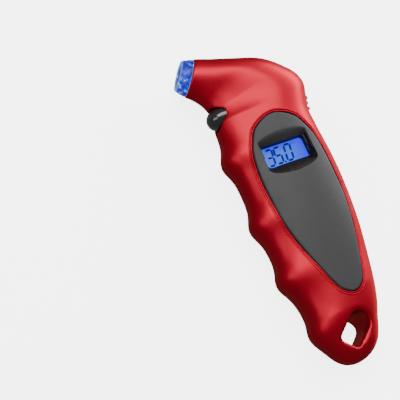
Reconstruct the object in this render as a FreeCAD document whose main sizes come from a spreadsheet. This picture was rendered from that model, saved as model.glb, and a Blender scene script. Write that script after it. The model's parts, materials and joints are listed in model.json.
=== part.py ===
"""Digital tyre pressure gauge with a backlit display, a lit nozzle and a finger grip.

Frame: millimetres. The gauge lies on its back: Z = 0 is its flat rest face, +Z is the way the display
faces, +Y runs up the handle to the head and +X is the spine side, away from the fingers.
"""
import FreeCAD, Part
import math
import os
import re
import Sketcher
from FreeCAD import Placement, Rotation, Vector

# Driving dimensions: name, value in mm or degrees, meaning.
SIZES = (
    # casing
    ("handle_length", 120.6, "tail end to the plane where the head starts to turn"),
    ("turn_height", 40.0, "that plane's place along Y"),
    ("turn_reach", 35.0, "the head's turning axis, on the finger side"),
    ("head_angle", 58.0, "how far the head turns from the handle"),
    ("nozzle_reach", 30.7, "turning axis to nozzle axis"),
    ("rim_radius", 8.95, "casing's rim round the nozzle"),
    ("spine_reach", 27.8, "widest point of the spine side"),
    ("finger_reach", 17.1, "finger side at the turn plane"),
    ("crest_height", 3.2, "finger crests above the finger side"),
    ("tail_offset", 2.4, "tail tip, on the finger side of the middle"),
    ("tail_round", 14.0, "length over which the tail rounds off"),
    ("mid", 12.0, "parting plane above the rest face"),
    ("crown_depth", 12.6, "front half, parting plane to crown"),
    ("back_depth", 13.6, "rear half before its flat is cut"),
    ("side_depth", 11.8, "front half near the finger side"),
    ("back_side_depth", 13.4, "rear half near the finger side"),
    ("saddle_depth", 8.8, "both halves in the saddle beside the barrel"),
    ("tail_depth", 8.6, "both halves at the tail"),
    ("wall", 2.2, "casing wall"),
    # display panel
    ("panel_middle", 5.4, "panel's middle line along X"),
    ("panel_top", 34.6, "panel's upper end along Y"),
    ("panel_length", 87.0, "panel, end to end"),
    ("panel_width", 33.4, "panel, side to side"),
    ("panel_crown", 60.0, "radius of the panel's crown"),
    ("panel_proud", 0.1, "panel's crown above the casing's crown"),
    ("panel_skin", 2.0, "panel thickness"),
    ("panel_gap", 0.25, "gap round the panel"),
    ("panel_ledge", 1.8, "width of the ledge under the panel's edge"),
    ("ledge_drop", 4.3, "ledge below the casing's crown"),
    ("ledge_height", 1.4, "ledge thickness"),
    ("bead_width", 1.2, "raised bead round the panel"),
    ("bead_height", 0.5, "bead above the casing"),
    # display stack
    ("lcd_middle", 16.4, "display's middle along Y"),
    ("view_width", 21.4, "visible display window"),
    ("view_height", 10.2, "visible display window"),
    ("scoop_width", 24.6, "eye-shaped scoop, side to side"),
    ("scoop_side", 12.8, "eye-shaped scoop, height of its sides"),
    ("scoop_height", 19.8, "eye-shaped scoop, top to bottom of its arches"),
    ("scoop_depth", 5.2, "scoop below the panel's crown"),
    ("window_margin", 1.6, "clear window beyond the view"),
    ("window_thick", 1.2, "clear window"),
    ("lcd_margin", 4.2, "display glass beyond the view along X"),
    ("lcd_ledge", 3.4, "display glass beyond the view along Y"),
    ("lcd_thick", 2.6, "display glass"),
    ("backlight_thick", 2.4, "light guide"),
    ("frame_wall", 1.2, "wall of the display frame"),
    ("stack_gap", 0.1, "gap between the display's layers"),
    # main board
    ("board_level", 8.0, "underside of the main board"),
    ("board_thick", 1.6, "main board"),
    ("board_left", 12.0, "main board's finger side, from the middle"),
    ("board_right", 23.0, "main board's spine side"),
    ("board_bottom", 2.5, "main board's lower edge, below the middle"),
    ("board_shoulder", 26.0, "main board's shoulder"),
    ("board_top", 39.0, "main board's upper edge"),
    ("neck_left", 1.0, "board's narrow part, edge beside the switch"),
    ("neck_right", 17.2, "board's narrow part, spine side"),
    ("board_screw_hole", 1.1, "radius of the board's screw holes"),
    ("sensor_width", 8.0, "pressure sensor"),
    ("sensor_length", 7.5, "pressure sensor"),
    ("sensor_height", 4.8, "pressure sensor"),
    ("sensor_place", 8.0, "sensor's middle along X"),
    ("port_radius", 1.25, "sensor's port"),
    ("port_length", 4.0, "sensor's port"),
    # nozzle
    ("valve_bore", 4.3, "radius of the bore that takes a tyre valve"),
    ("valve_depth", 9.5, "length of that bore"),
    ("chuck_wall", 1.3, "chuck wall round the bore"),
    ("chuck_mouth", 4.4, "chuck's mouth, ahead of the rim"),
    ("seal_thick", 2.6, "rubber seal"),
    ("seal_grip", 0.7, "how far the seal's seat is wider than the bore"),
    ("seal_hole", 2.2, "radius of the seal's hole"),
    ("flange_extra", 1.5, "chuck's flange beyond its wall"),
    ("flange_thick", 2.0, "chuck's flange"),
    ("flange_back", 10.0, "flange's front face, behind the rim"),
    ("pin_radius", 0.8, "depressor pin"),
    ("pin_drop", 0.2, "depressor pin's tip behind the seal's face"),
    ("barb_radius", 1.5, "chuck's barb for the hose"),
    ("barb_length", 4.5, "chuck's barb for the hose"),
    ("air_radius", 0.9, "air way through the chuck and the sensor port"),
    ("foot_height", 0.8, "depressor's foot"),
    ("lens_gap", 0.2, "lens to chuck and lens to casing"),
    ("lens_front", 5.4, "lens's front face, ahead of the rim"),
    ("lens_back", 6.0, "lens's sleeve, behind the rim"),
    ("lens_taper", 1.25, "how much narrower the lens's front is than its base"),
    ("lens_inset", 0.45, "lens's base, inside the rim"),
    ("rim_wall", 1.5, "casing wall round the lens's sleeve"),
    ("led_height", 0.9, "LEDs on the ring board"),
    ("led_margin", 0.2, "LEDs in from the ring board's edges"),
    ("led_board_thick", 1.0, "ring board"),
    ("rib_thick", 1.5, "casing ribs that hold the chuck"),
    ("rib_gap", 0.15, "flange to ribs"),
    ("rib_radius", 12.0, "ribs' reach into the casing"),
    ("led_gap", 0.4, "room behind the ring board"),
    # hose
    ("hose_wall", 0.9, "silicone hose"),
    ("hose_overlap", 3.4, "hose pushed on its barb and its port"),
    ("clip_thick", 0.6, "hose clips"),
    ("clip_width", 2.0, "hose clips"),
    # trigger
    ("trigger_height", 43.0, "trigger's middle along Y"),
    ("trigger_half_length", 5.6, "trigger, half along the grip"),
    ("trigger_half_width", 6.3, "trigger, half across the grip"),
    ("trigger_dome", 7.4, "trigger's dome, back plate to tip"),
    ("trigger_proud", 2.6, "trigger beyond the finger side"),
    ("trigger_gap", 0.2, "trigger to its slot"),
    ("trigger_travel", 0.8, "trigger's stroke"),
    ("ear_reach", 2.2, "trigger's ears beyond its dome along Y"),
    ("ear_half_width", 3.6, "trigger's ears, half across"),
    ("ear_thick", 1.3, "trigger's back plate and ears"),
    ("stem_radius", 1.6, "trigger's stem and the switch plunger"),
    ("stem_length", 2.9, "trigger's stem"),
    ("spring_radius", 4.4, "return spring, to the wire's middle"),
    ("spring_wire", 0.3, "return spring's wire radius"),
    ("spring_turns", 4.0, "return spring"),
    ("switch_size", 5.2, "tactile switch"),
    ("switch_depth", 3.4, "tactile switch"),
    ("plunger_proud", 1.3, "switch plunger above its switch"),
    ("switch_board_thick", 1.2, "switch board"),
    ("switch_board_length", 14.0, "switch board along Y"),
    ("switch_board_width", 12.0, "switch board along Z"),
    ("guide_wall", 1.2, "guides in front of and behind the switch board"),
    ("guide_grip", 0.6, "guides over the switch board's ends"),
    ("board_gap", 0.05, "switch board to its guides"),
    ("spring_gap", 0.3, "return spring to the casing"),
    # batteries
    ("cell_radius", 5.8, "button cell"),
    ("cell_thick", 5.4, "button cell"),
    ("coin_radius", 10.0, "coin cell"),
    ("coin_thick", 3.2, "coin cell"),
    ("cell_gap", 0.25, "room round each cell"),
    ("contact_thick", 0.5, "contact plates"),
    ("tray_wall", 1.2, "battery tray"),
    ("tray_start", 10.4, "battery tray's upper end, below the middle"),
    ("tray_gap", 0.1, "battery opening inside the tray's ends"),
    ("battery_middle", 3.5, "battery tray's middle along X"),
    ("door_thick", 1.2, "battery door"),
    ("door_gap", 0.15, "gap round the battery door"),
    ("door_ledge", 1.4, "casing's ledge round the battery opening"),
    ("door_land", 6.0, "casing's land under the door's screw end"),
    ("hook_width", 4.0, "battery door's hooks"),
    ("hook_space", 11.0, "between the middles of the door's hooks"),
    ("hook_reach", 2.0, "hooks beyond the battery opening"),
    ("door_screw_head", 1.9, "battery door's screw head, radius"),
    ("door_screw_shank", 0.9, "battery door's screw, radius"),
    ("door_screw_length", 6.0, "battery door's screw"),
    ("door_post", 2.6, "radius of the post for that screw"),
    # fasteners of the casing and the board
    ("boss_radius", 3.4, "screw bosses"),
    ("screw_radius", 1.15, "case screws"),
    ("screw_head", 2.2, "case screws' heads, radius"),
    ("head_thick", 1.5, "case screws' heads"),
    ("screw_sink", 5.0, "case screws' heads, below the back"),
    ("screw_bite", 7.0, "case screws in the front bosses"),
    ("pilot_depth", 0.5, "pilot holes beyond the screws' ends"),
    ("board_screw_shank", 0.85, "board screws, radius"),
    ("board_screw_head", 2.0, "board screws' heads, radius"),
    ("board_head_thick", 1.3, "board screws' heads"),
    ("board_screw_bite", 4.0, "board screws in their posts"),
    ("post_radius", 2.4, "posts under the main board"),
    ("post_inset", 3.5, "posts in from the main board's sides"),
    ("post_margin", 3.4, "neck's post, below the board's upper edge"),
    ("screw_room", 0.3, "room round the case screws' heads"),
    ("shank_room", 0.15, "room round the case screws' shanks"),
    ("pilot_room", 0.05, "threads' pilot holes beyond the screws"),
    # tail
    ("hole_place", 15.4, "lanyard hole, its big lobe's middle above the tail end"),
    ("hole_middle", 2.6, "big lobe's middle along X"),
    ("hole_lobe", 4.7, "radius of the big lobe"),
    ("hole_reach", 5.6, "middle of the hole's finger-side corner"),
    ("hole_drop", 3.7, "that corner below the big lobe"),
    ("hole_corner", 1.9, "radius of that corner"),
    ("tip_reach", 2.0, "middle of the hole's tip"),
    ("tip_drop", 8.0, "the tip below the big lobe"),
    ("hole_tip", 1.4, "radius of the tip"),
    # thumb ridges
    ("ridge_radius", 0.8, "ridges on the spine"),
    ("ridge_pitch", 2.6, "ridge to ridge"),
    ("ridge_drop", 1.0, "uppermost ridge below the turning axis"),
    ("ridge_length", 10.0, "ridges, front to back"),
    # wires
    ("wire_radius", 0.5, "hook-up wires"),
    ("wire_bend", 2.0, "hook-up wires' bends"),
    ("wire_pitch", 1.3, "lamp wire to lamp wire"),
    ("wire_room", 0.4, "room round the lamp wires in the flange and ribs"),
)

# Places that follow from the sizes above.
PLACES = (
    ("tail_end", "turn_height - handle_length"),
    ("crown_top", "mid + crown_depth"),
    ("panel_crown_top", "mid + crown_depth + panel_proud"),
    ("ledge_top", "mid + crown_depth - ledge_drop"),
    ("window_top", "mid + crown_depth - scoop_depth"),
    ("window_bottom", "mid + crown_depth - scoop_depth - window_thick"),
    ("lcd_top", "mid + crown_depth - scoop_depth - window_thick - stack_gap"),
    ("lcd_bottom", "mid + crown_depth - scoop_depth - window_thick - stack_gap - lcd_thick"),
    ("lcd_half_width", "view_width / 2 + lcd_margin"),
    ("lcd_half_height", "view_height / 2 + lcd_ledge"),
    ("board_face", "board_level + board_thick"),
    ("chuck_radius", "valve_bore + chuck_wall"),
    ("seal_face", "chuck_mouth - valve_depth"),
    ("seal_back", "chuck_mouth - valve_depth - seal_thick"),
    ("barb_end", "0 - flange_back - flange_thick - barb_length"),
    ("flange_radius", "valve_bore + chuck_wall + flange_extra"),
    ("lens_inner", "valve_bore + chuck_wall + lens_gap"),
    ("sleeve_radius", "rim_radius - rim_wall - lens_gap"),
    ("led_board_face", "0 - lens_back - led_height"),
    ("trigger_tip", "0 - finger_reach - trigger_proud"),
    ("trigger_plate", "0 - finger_reach - trigger_proud + trigger_dome"),
    ("trigger_back", "0 - finger_reach - trigger_proud + trigger_dome + ear_thick"),
    ("plunger_tip", "0 - finger_reach - trigger_proud + trigger_dome + ear_thick + stem_length"),
    ("switch_face", "plunger_tip + plunger_proud"),
    ("switch_board_face", "switch_face + switch_depth"),
    ("tray_level", "wall"),
    ("cell_pocket", "cell_radius + cell_gap"),
    ("cell_row", "0 - tray_start - tray_wall - cell_radius - cell_gap"),
    ("cell_level", "door_thick + 2 * cell_gap + cell_radius"),
    ("coin_row", "cell_row - cell_radius - 2 * cell_gap - tray_wall - coin_radius"),
    ("coin_level", "wall"),
    ("tray_half", "coin_radius + cell_gap + tray_wall"),
    ("tray_end", "coin_row - coin_radius - cell_gap - tray_wall"),
    ("stack_half", "1.5 * cell_thick"),
    ("door_start", "0 - tray_start + 1.2"),
    ("door_end", "tray_end - door_land"),
    ("door_half", "coin_radius + cell_gap"),
    ("door_screw_place", "tray_end - door_land / 2"),
    ("screw_row", "trigger_height - 12"),
    ("finger_screw", "5.6 - finger_reach"),
    ("spine_screw", "spine_reach - 6.8"),
    ("head_screw", "spine_reach - 12.3"),
    ("head_screw_row", "turn_height + 14"),
    ("tail_screw_row", "tail_end + 24"),
    ("tail_finger_screw", "5.05 - 0.88 * finger_reach"),
    ("tail_spine_screw", "0.64 * spine_reach - 5.6"),
    ("post_left", "post_inset - board_left - 0.5"),
    ("post_right", "board_right - post_inset"),
    ("post_row", "post_inset - board_bottom"),
    ("post_neck", "neck_right - post_radius"),
    ("post_neck_row", "board_top - post_margin"),
    ("wire_row", "board_top - 0.6"),
    ("wire_reach", "(lens_inner + sleeve_radius) / 2"),
    ("ridge_top", "turn_height - ridge_drop"),
)


def names_of(table):
    return {row[0] for row in table}


def sheet_of(name):
    return "Sizes." if name in names_of(SIZES) else "Places."


def bound(text):
    """The expression text with each size or place pointing at its sheet."""
    known = names_of(SIZES) | names_of(PLACES)
    return re.sub(r"[a-z_]+", lambda word: sheet_of(word[0]) + word[0] if word[0] in known else word[0], text)


def fill(sheet, rows):
    for number, (name, value, meaning) in enumerate(rows, 1):
        sheet.set(f"A{number}", meaning)
        sheet.set(f"B{number}", value)
        sheet.setAlias(f"B{number}", name)
    doc.recompute()


doc = FreeCAD.newDocument("tyre_pressure_gauge")
sizes = doc.addObject("Spreadsheet::Sheet", "Sizes")
fill(sizes, [(name, str(value), meaning) for name, value, meaning in SIZES])
places = doc.addObject("Spreadsheet::Sheet", "Places")
fill(places, [(name, "=" + bound(formula).replace("Places.", ""), formula) for name, formula in PLACES])


def size(name):
    """The value of a size or place."""
    return float(getattr(sizes if name in names_of(SIZES) else places, name))


NODES = {}


def node(name, made):
    """Names an object as one physical piece of the gauge."""
    made.Label = name
    NODES[name] = made
    return made


def bind(made, **texts):
    for prop, text in texts.items():
        made.setExpression(prop.replace("_", ".") if prop.startswith("Placement") else prop, bound(text))
    return made


def box(name, x, y, z):
    """A block between the low and high expressions on each axis."""
    made = doc.addObject("Part::Box", name)
    bind(made, Length=f"({x[1]}) - ({x[0]})", Width=f"({y[1]}) - ({y[0]})", Height=f"({z[1]}) - ({z[0]})")
    bind(made, Placement_Base_x=x[0], Placement_Base_y=y[0], Placement_Base_z=z[0])
    return made


TURNS = {"X": Rotation(Vector(0, 1, 0), 90), "Y": Rotation(Vector(1, 0, 0), -90), "Z": Rotation()}


def rod(name, radius, length, x="0", y="0", z="0", along="Z"):
    """A cylinder that starts at a place and runs along an axis."""
    made = doc.addObject("Part::Cylinder", name)
    made.Placement = Placement(Vector(), TURNS[along])
    bind(made, Radius=radius, Height=length, Placement_Base_x=x, Placement_Base_y=y, Placement_Base_z=z)
    return made


def fuse(name, pieces):
    made = doc.addObject("Part::MultiFuse", name)
    made.Shapes = pieces
    return made


def cut(name, base, tool):
    made = doc.addObject("Part::Cut", name)
    made.Base = base
    made.Tool = tool
    return made


def plane_of(body, role):
    return next(item for item in body.Origin.OriginFeatures if item.Role == role)


def sketch(body, name, role, corners, level="0"):
    """A closed outline of straight lines on one of the body's planes, every corner set by two expressions."""
    made = body.newObject("Sketcher::SketchObject", name)
    made.AttachmentSupport = [(plane_of(body, role), "")]
    made.MapMode = "FlatFace"
    made.setExpression("AttachmentOffset.Base.z", bound(level))
    guess = [Vector(10 * math.cos(6.28 * k / len(corners)), 10 * math.sin(6.28 * k / len(corners)), 0)
             for k in range(len(corners))]
    for k in range(len(corners)):
        made.addGeometry(Part.LineSegment(guess[k], guess[(k + 1) % len(corners)]))
    for k in range(len(corners)):
        made.addConstraint(Sketcher.Constraint("Coincident", k, 2, (k + 1) % len(corners), 1))
    for k, (across, up) in enumerate(corners):
        for kind, text in (("DistanceX", across), ("DistanceY", up)):
            number = made.addConstraint(Sketcher.Constraint(kind, -1, 1, k, 1, 1.0))
            made.setExpression(f"Constraints[{number}]", bound(text))
    return made


def body(name):
    return node(name, doc.addObject("PartDesign::Body", name))


def revolve(owner, name, corners):
    """Turns an outline of (radius, height) corners about the body's Z axis."""
    outline = sketch(owner, name + "_outline", "XZ_Plane", corners)
    made = owner.newObject("PartDesign::Revolution", name)
    made.Profile = outline
    made.ReferenceAxis = (outline, ["V_Axis"])
    made.Angle = 360
    return made


def pad(owner, name, corners, low, high, role="XY_Plane"):
    outline = sketch(owner, name + "_outline", role, corners, low)
    made = owner.newObject("PartDesign::Pad", name)
    made.Profile = outline
    made.setExpression("Length", bound(f"({high}) - ({low})"))
    return made


def pocket(owner, name, corners, low, high, role="XY_Plane"):
    """Cuts the outline's prism between two levels out of the body."""
    outline = sketch(owner, name + "_outline", role, corners, low)
    made = owner.newObject("PartDesign::Pocket", name)
    made.Profile = outline
    made.Reversed = True
    made.setExpression("Length", bound(f"({high}) - ({low})"))
    return made


def rectangle(x, y):
    return [(x[0], y[0]), (x[1], y[0]), (x[1], y[1]), (x[0], y[1])]


# ---- casing ----

# Outline of the grip: share of the handle's length above the tail end, share of the side's reach.
SPINE_LINE = ((0.0, 0.42), (0.10, 0.47), (0.18, 0.61), (0.33, 0.79), (0.48, 0.92), (0.63, 0.99), (0.75, 1.0),
              (0.88, 0.975), (0.95, 0.972), (1.0, 1.04))
FINGER_LINE = ((0.0, 0.80), (0.10, 0.79), (0.16, 0.80), (0.23, 0.88), (0.34, 0.99), (0.46, 1.05), (0.72, 1.06),
               (0.9, 1.03), (1.0, 1.0))
FINGER_CRESTS = (0.146, 0.363, 0.589, 0.852)
CREST_SPREAD = 6.3
# Head: share of the turn, share of the way from the turn plane's reach to the rim's.
HEAD_SPINE = ((0.0, 0.0), (0.09, -0.08), (0.17, -0.055), (0.26, 0.06), (0.41, 0.27), (0.61, 0.64), (0.78, 0.85),
              (1.0, 1.0))
HEAD_FINGER = ((0.0, 0.0), (0.2, 0.35), (0.41, 0.57), (0.6, 0.72), (0.8, 0.89), (1.0, 1.0))
# Depths: station (0 at the tail, 1 at the turn plane, 2 at the rim), share of the way to the next size.
TAIL_RISE = ((0.0, 0.0), (0.06, 0.05), (0.17, 0.75), (0.25, 1.0))
CROWN_FALL = ((1.0, 0.0), (1.25, 0.08), (1.5, 0.4), (1.75, 0.75), (2.0, 1.0))
SADDLE_RISE = ((0.85, 0.0), (1.05, 0.55), (1.25, 1.0))
# How far the thumb ridges stand beyond the spine's reach, lowest first.
RIDGE_REACH = (-0.4, -0.1, 0.8)
STATION_POINTS = 24
HANDLE_STATIONS = 30
HEAD_STATIONS = 12
TAIL_STATIONS = (0.0015, 0.006, 0.016, 0.032, 0.055, 0.08)
CAVITY_START, CAVITY_END = 0.03, 1.95


def follow(points, x):
    """A smooth line through a few points, level beyond both ends."""
    if x <= points[0][0]:
        return points[0][1]
    if x >= points[-1][0]:
        return points[-1][1]
    k = next(i for i in range(len(points) - 1) if x <= points[i + 1][0])
    steps = [(b[1] - a[1]) / (b[0] - a[0]) for a, b in zip(points, points[1:])]
    widths = [b[0] - a[0] for a, b in zip(points, points[1:])]

    def slope(i):
        if i == 0:
            return steps[0]
        if i == len(points) - 1:
            return steps[-1]
        return (steps[i - 1] * widths[i] + steps[i] * widths[i - 1]) / (widths[i - 1] + widths[i])

    t = (x - points[k][0]) / widths[k]
    start = points[k][1] * (2 * t**3 - 3 * t**2 + 1) + slope(k) * widths[k] * (t**3 - 2 * t**2 + t)
    return start + points[k + 1][1] * (3 * t**2 - 2 * t**3) + slope(k + 1) * widths[k] * (t**3 - t**2)


def clamp(x):
    return max(0.0, min(1.0, x))


def ease(x):
    return clamp(x) ** 2 * (3 - 2 * clamp(x))


def rounding(distance, length):
    """Share of the full width at a distance from a round end."""
    return math.sqrt(1 - (1 - clamp(distance / length)) ** 2)


def station(f, inset):
    """Origin, direction, inner and outer reach of the casing's section at station f."""
    turn = Vector(-size("turn_reach"), size("turn_height"), 0)
    if f <= 1:
        up = f * size("handle_length")
        tail = rounding(up - inset, size("tail_round"))
        middle = -size("tail_offset") * (1 - ease(up / size("tail_round")))
        crests = sum(math.exp(-((up - c * size("handle_length")) / CREST_SPREAD) ** 2) for c in FINGER_CRESTS)
        spine = follow(SPINE_LINE, f) * size("spine_reach")
        finger = -follow(FINGER_LINE, f) * size("finger_reach") - crests * size("crest_height")
        outer = middle + (spine - middle) * tail + size("turn_reach")
        inner = middle + (finger - middle) * tail + size("turn_reach")
        origin = turn - Vector(0, size("handle_length") - up, 0)
        return origin, Vector(1, 0, 0), inner + inset, outer - inset
    angle = math.radians(size("head_angle")) * (f - 1)
    spine = follow(SPINE_LINE, 1) * size("spine_reach") + size("turn_reach")
    finger = size("turn_reach") - size("finger_reach")
    outer = spine + (size("nozzle_reach") + size("rim_radius") - spine) * follow(HEAD_SPINE, f - 1)
    inner = finger + (size("nozzle_reach") - size("rim_radius") - finger) * follow(HEAD_FINGER, f - 1)
    return turn, Vector(math.cos(angle), math.sin(angle), 0), inner + inset, outer - inset


def half_section(f, side, inset):
    """Points of half a section, from the spine edge over the crown (side 1) or back (side -1) to the fingers."""
    origin, along, inner, outer = station(f, inset)
    full = size("crown_depth") if side > 0 else size("back_depth")
    tail = size("tail_depth") + (full - size("tail_depth")) * follow(TAIL_RISE, f)
    tail *= rounding(f * size("handle_length") - inset, size("tail_depth"))
    ridge = tail + (size("rim_radius") - tail) * follow(CROWN_FALL, f)
    beside = size("side_depth") if side > 0 else size("back_side_depth")
    low = min(tail, beside) - (beside - size("saddle_depth")) * follow(SADDLE_RISE, f)
    low += (ridge - low) * ease((f - 1.5) / 0.5)
    round_nozzle = ease((f - 1.1) / 0.9)
    boxy = 0.6 * (1 - round_nozzle) if side < 0 else 0.0
    points = []
    for k in range(STATION_POINTS + 1):
        angle = math.pi * k / STATION_POINTS
        blunt = (2.9 if k < STATION_POINTS / 2 else 2.4) + boxy
        blunt += (2.0 - blunt) * round_nozzle
        stretch = (abs(math.cos(angle)) ** blunt + abs(math.sin(angle)) ** blunt) ** (-1 / blunt)
        across = stretch * math.cos(angle)
        depth = low + (ridge - low) * ease((across + 0.6) / 1.0) - inset
        height = side * depth * stretch * math.sin(angle) if 0 < k < STATION_POINTS else 0.0
        point = origin + along * ((inner + outer) / 2 + (outer - inner) / 2 * across)
        points.append(Vector(point.x, point.y, size("mid") + height))
    return points


def half_form(side, inset=0.0, first=0.0, last=2.0):
    """Solid half of the casing's form, in front of (side 1) or behind (side -1) the parting plane."""
    handle = [0.11 + 0.89 * k / HANDLE_STATIONS for k in range(HANDLE_STATIONS + 1)]
    head = [1 + (k + 1) / HEAD_STATIONS for k in range(HEAD_STATIONS)]
    stations = [f for f in (*TAIL_STATIONS, *handle, *head) if first <= f <= last]
    grid = [half_section(f, side, inset) for f in stations]
    surface = Part.BSplineSurface()
    surface.interpolate(grid)
    skin = surface.toShape()
    tail_arc, spine_edge, rim_arc, finger_edge = skin.Edges
    tail_line = Part.LineSegment(grid[0][0], grid[0][-1]).toShape()
    rim_line = Part.LineSegment(grid[-1][0], grid[-1][-1]).toShape()
    rings = ([tail_arc, tail_line], [rim_arc, rim_line], [spine_edge, rim_line, finger_edge, tail_line])
    caps = [Part.Face(Part.Wire(Part.__sortEdges__(ring))) for ring in rings]
    hull = Part.Shell([skin, *caps])
    hull.sewShape()
    form = Part.Solid(hull)
    if form.Volume < 0:
        form.reverse()
    if side > 0:
        return form
    flat = max(inset, 0.0)
    return form.common(Part.makeBox(400, 400, 50, Vector(-200, -200, flat)))


# ---- outlines of the panel and the lanyard hole ----

# Panel: share of its length below its upper end, share of its half width.
PANEL_LINE = ((0.045, 0.575), (0.117, 0.82), (0.169, 0.925), (0.274, 0.995), (0.398, 1.0), (0.536, 0.965),
              (0.65, 0.86), (0.75, 0.725), (0.847, 0.56), (0.915, 0.437), (0.971, 0.285))


def panel_outline(grow=0.0):
    """The panel's teardrop outline, moved outwards by grow."""
    middle, top = size("panel_middle"), size("panel_top")
    length, half = size("panel_length"), size("panel_width") / 2
    left = [Vector(middle - b * half, top - a * length, 0) for a, b in PANEL_LINE]
    right = [Vector(middle + b * half, top - a * length, 0) for a, b in reversed(PANEL_LINE)]
    points = [Vector(middle, top, 0), *left, Vector(middle, top - length, 0), *right]
    loop = Part.BSplineCurve()
    loop.interpolate(Points=points, PeriodicFlag=True)
    if grow:
        moved = []
        for point in points:
            along = loop.tangent(loop.parameter(point))[0]
            moved.append(point + Vector(along.y, -along.x, 0) * grow)
        loop.interpolate(Points=moved, PeriodicFlag=True)
    return Part.Wire([loop.toShape()])


def hole_outline(grow=0.0):
    """The lanyard hole: three round corners joined by straight sides, counter-clockwise."""
    high = size("tail_end") + size("hole_place")
    corners = ((Vector(size("hole_middle"), high, 0), size("hole_lobe") + grow),
               (Vector(-size("hole_reach"), high - size("hole_drop"), 0), size("hole_corner") + grow),
               (Vector(-size("tip_reach"), high - size("tip_drop"), 0), size("hole_tip") + grow))
    normals = []
    for k in range(3):
        (here, near), (there, far) = corners[k], corners[(k + 1) % 3]
        reach = (there - here).Length
        along = (there - here).normalize()
        normals.append(math.atan2(-along.x, along.y) + math.asin((near - far) / reach))
    edges = []
    for k in range(3):
        centre, radius = corners[k]
        sweep = (normals[k] - normals[k - 1]) % math.tau
        ends = [centre + Vector(math.cos(angle), math.sin(angle), 0) * radius
                for angle in (normals[k - 1], normals[k - 1] + sweep / 2, normals[k])]
        edges.append(Part.Arc(*ends).toShape())
        there, far = corners[(k + 1) % 3]
        next_end = there + Vector(math.cos(normals[k]), math.sin(normals[k]), 0) * far
        edges.append(Part.LineSegment(ends[2], next_end).toShape())
    return Part.Wire(edges)


def prism(outline, low, high):
    face = Part.Face(outline)
    face.translate(Vector(0, 0, low))
    return face.extrude(Vector(0, 0, high - low))


def crown(drop=0.0):
    """Everything under the panel's crown, lowered by drop."""
    radius = size("panel_crown") - drop
    start = Vector(size("panel_middle"), -200, size("panel_crown_top") - size("panel_crown"))
    return Part.makeCylinder(radius, 400, start, Vector(0, 1, 0))


def block(x, y, z):
    return Part.makeBox(x[1] - x[0], y[1] - y[0], z[1] - z[0], Vector(x[0], y[0], z[0]))


def around(middle, half):
    return (middle - half, middle + half)


# ---- front and rear shell ----

NOZZLE_TURN = math.radians(size("head_angle"))
NOZZLE_AXIS = Vector(-math.sin(NOZZLE_TURN), math.cos(NOZZLE_TURN), 0)
RIM_CENTRE = Vector(size("nozzle_reach") * math.cos(NOZZLE_TURN) - size("turn_reach"),
                    size("nozzle_reach") * math.sin(NOZZLE_TURN) + size("turn_height"), size("mid"))
NOZZLE_PLACE = Placement(RIM_CENTRE, Rotation(Vector(0, 0, 1), size("head_angle")) * TURNS["Y"])


def nozzle_rod(radius, low, high):
    """A cylinder on the nozzle's axis between two distances ahead of the rim."""
    return Part.makeCylinder(radius, high - low, RIM_CENTRE + NOZZLE_AXIS * low, NOZZLE_AXIS)


def oval(half_length, half_width, start, end):
    """An elliptical cylinder along X at the trigger, half_length along Y and half_width along Z."""
    centre = Vector(start, size("trigger_height"), size("mid"))
    wide = max(half_length, half_width)
    if half_width >= half_length:
        ring = Part.Ellipse(centre + Vector(0, 0, wide), centre + Vector(0, half_length, 0), centre)
    else:
        ring = Part.Ellipse(centre + Vector(0, wide, 0), centre + Vector(0, 0, half_width), centre)
    return Part.Face(Part.Wire([ring.toShape()])).extrude(Vector(end - start, 0, 0))


SCREWS = (("finger_screw", "screw_row"), ("spine_screw", "screw_row"), ("head_screw", "head_screw_row"),
          ("tail_finger_screw", "tail_screw_row"), ("tail_spine_screw", "tail_screw_row"))
POSTS = (("post_left", "post_row"), ("post_right", "post_row"), ("post_neck", "post_neck_row"))
FAR = 200.0


def spots(places):
    """The plan points that pairs of places name."""
    return [(size(x), size(y)) for x, y in places]


def wire_notch(low, high):
    """A slot along the nozzle for the lamp wires, between two distances ahead of the rim."""
    half = size("wire_pitch") / 2 + size("wire_radius") + size("wire_room")
    inner = size("wire_reach") - size("wire_radius") - size("wire_room") / 2
    notch = Part.makeBox(2 * half, FAR, high - low, Vector(-half, -FAR - inner, low))
    notch.Placement = NOZZLE_PLACE
    return notch


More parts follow.
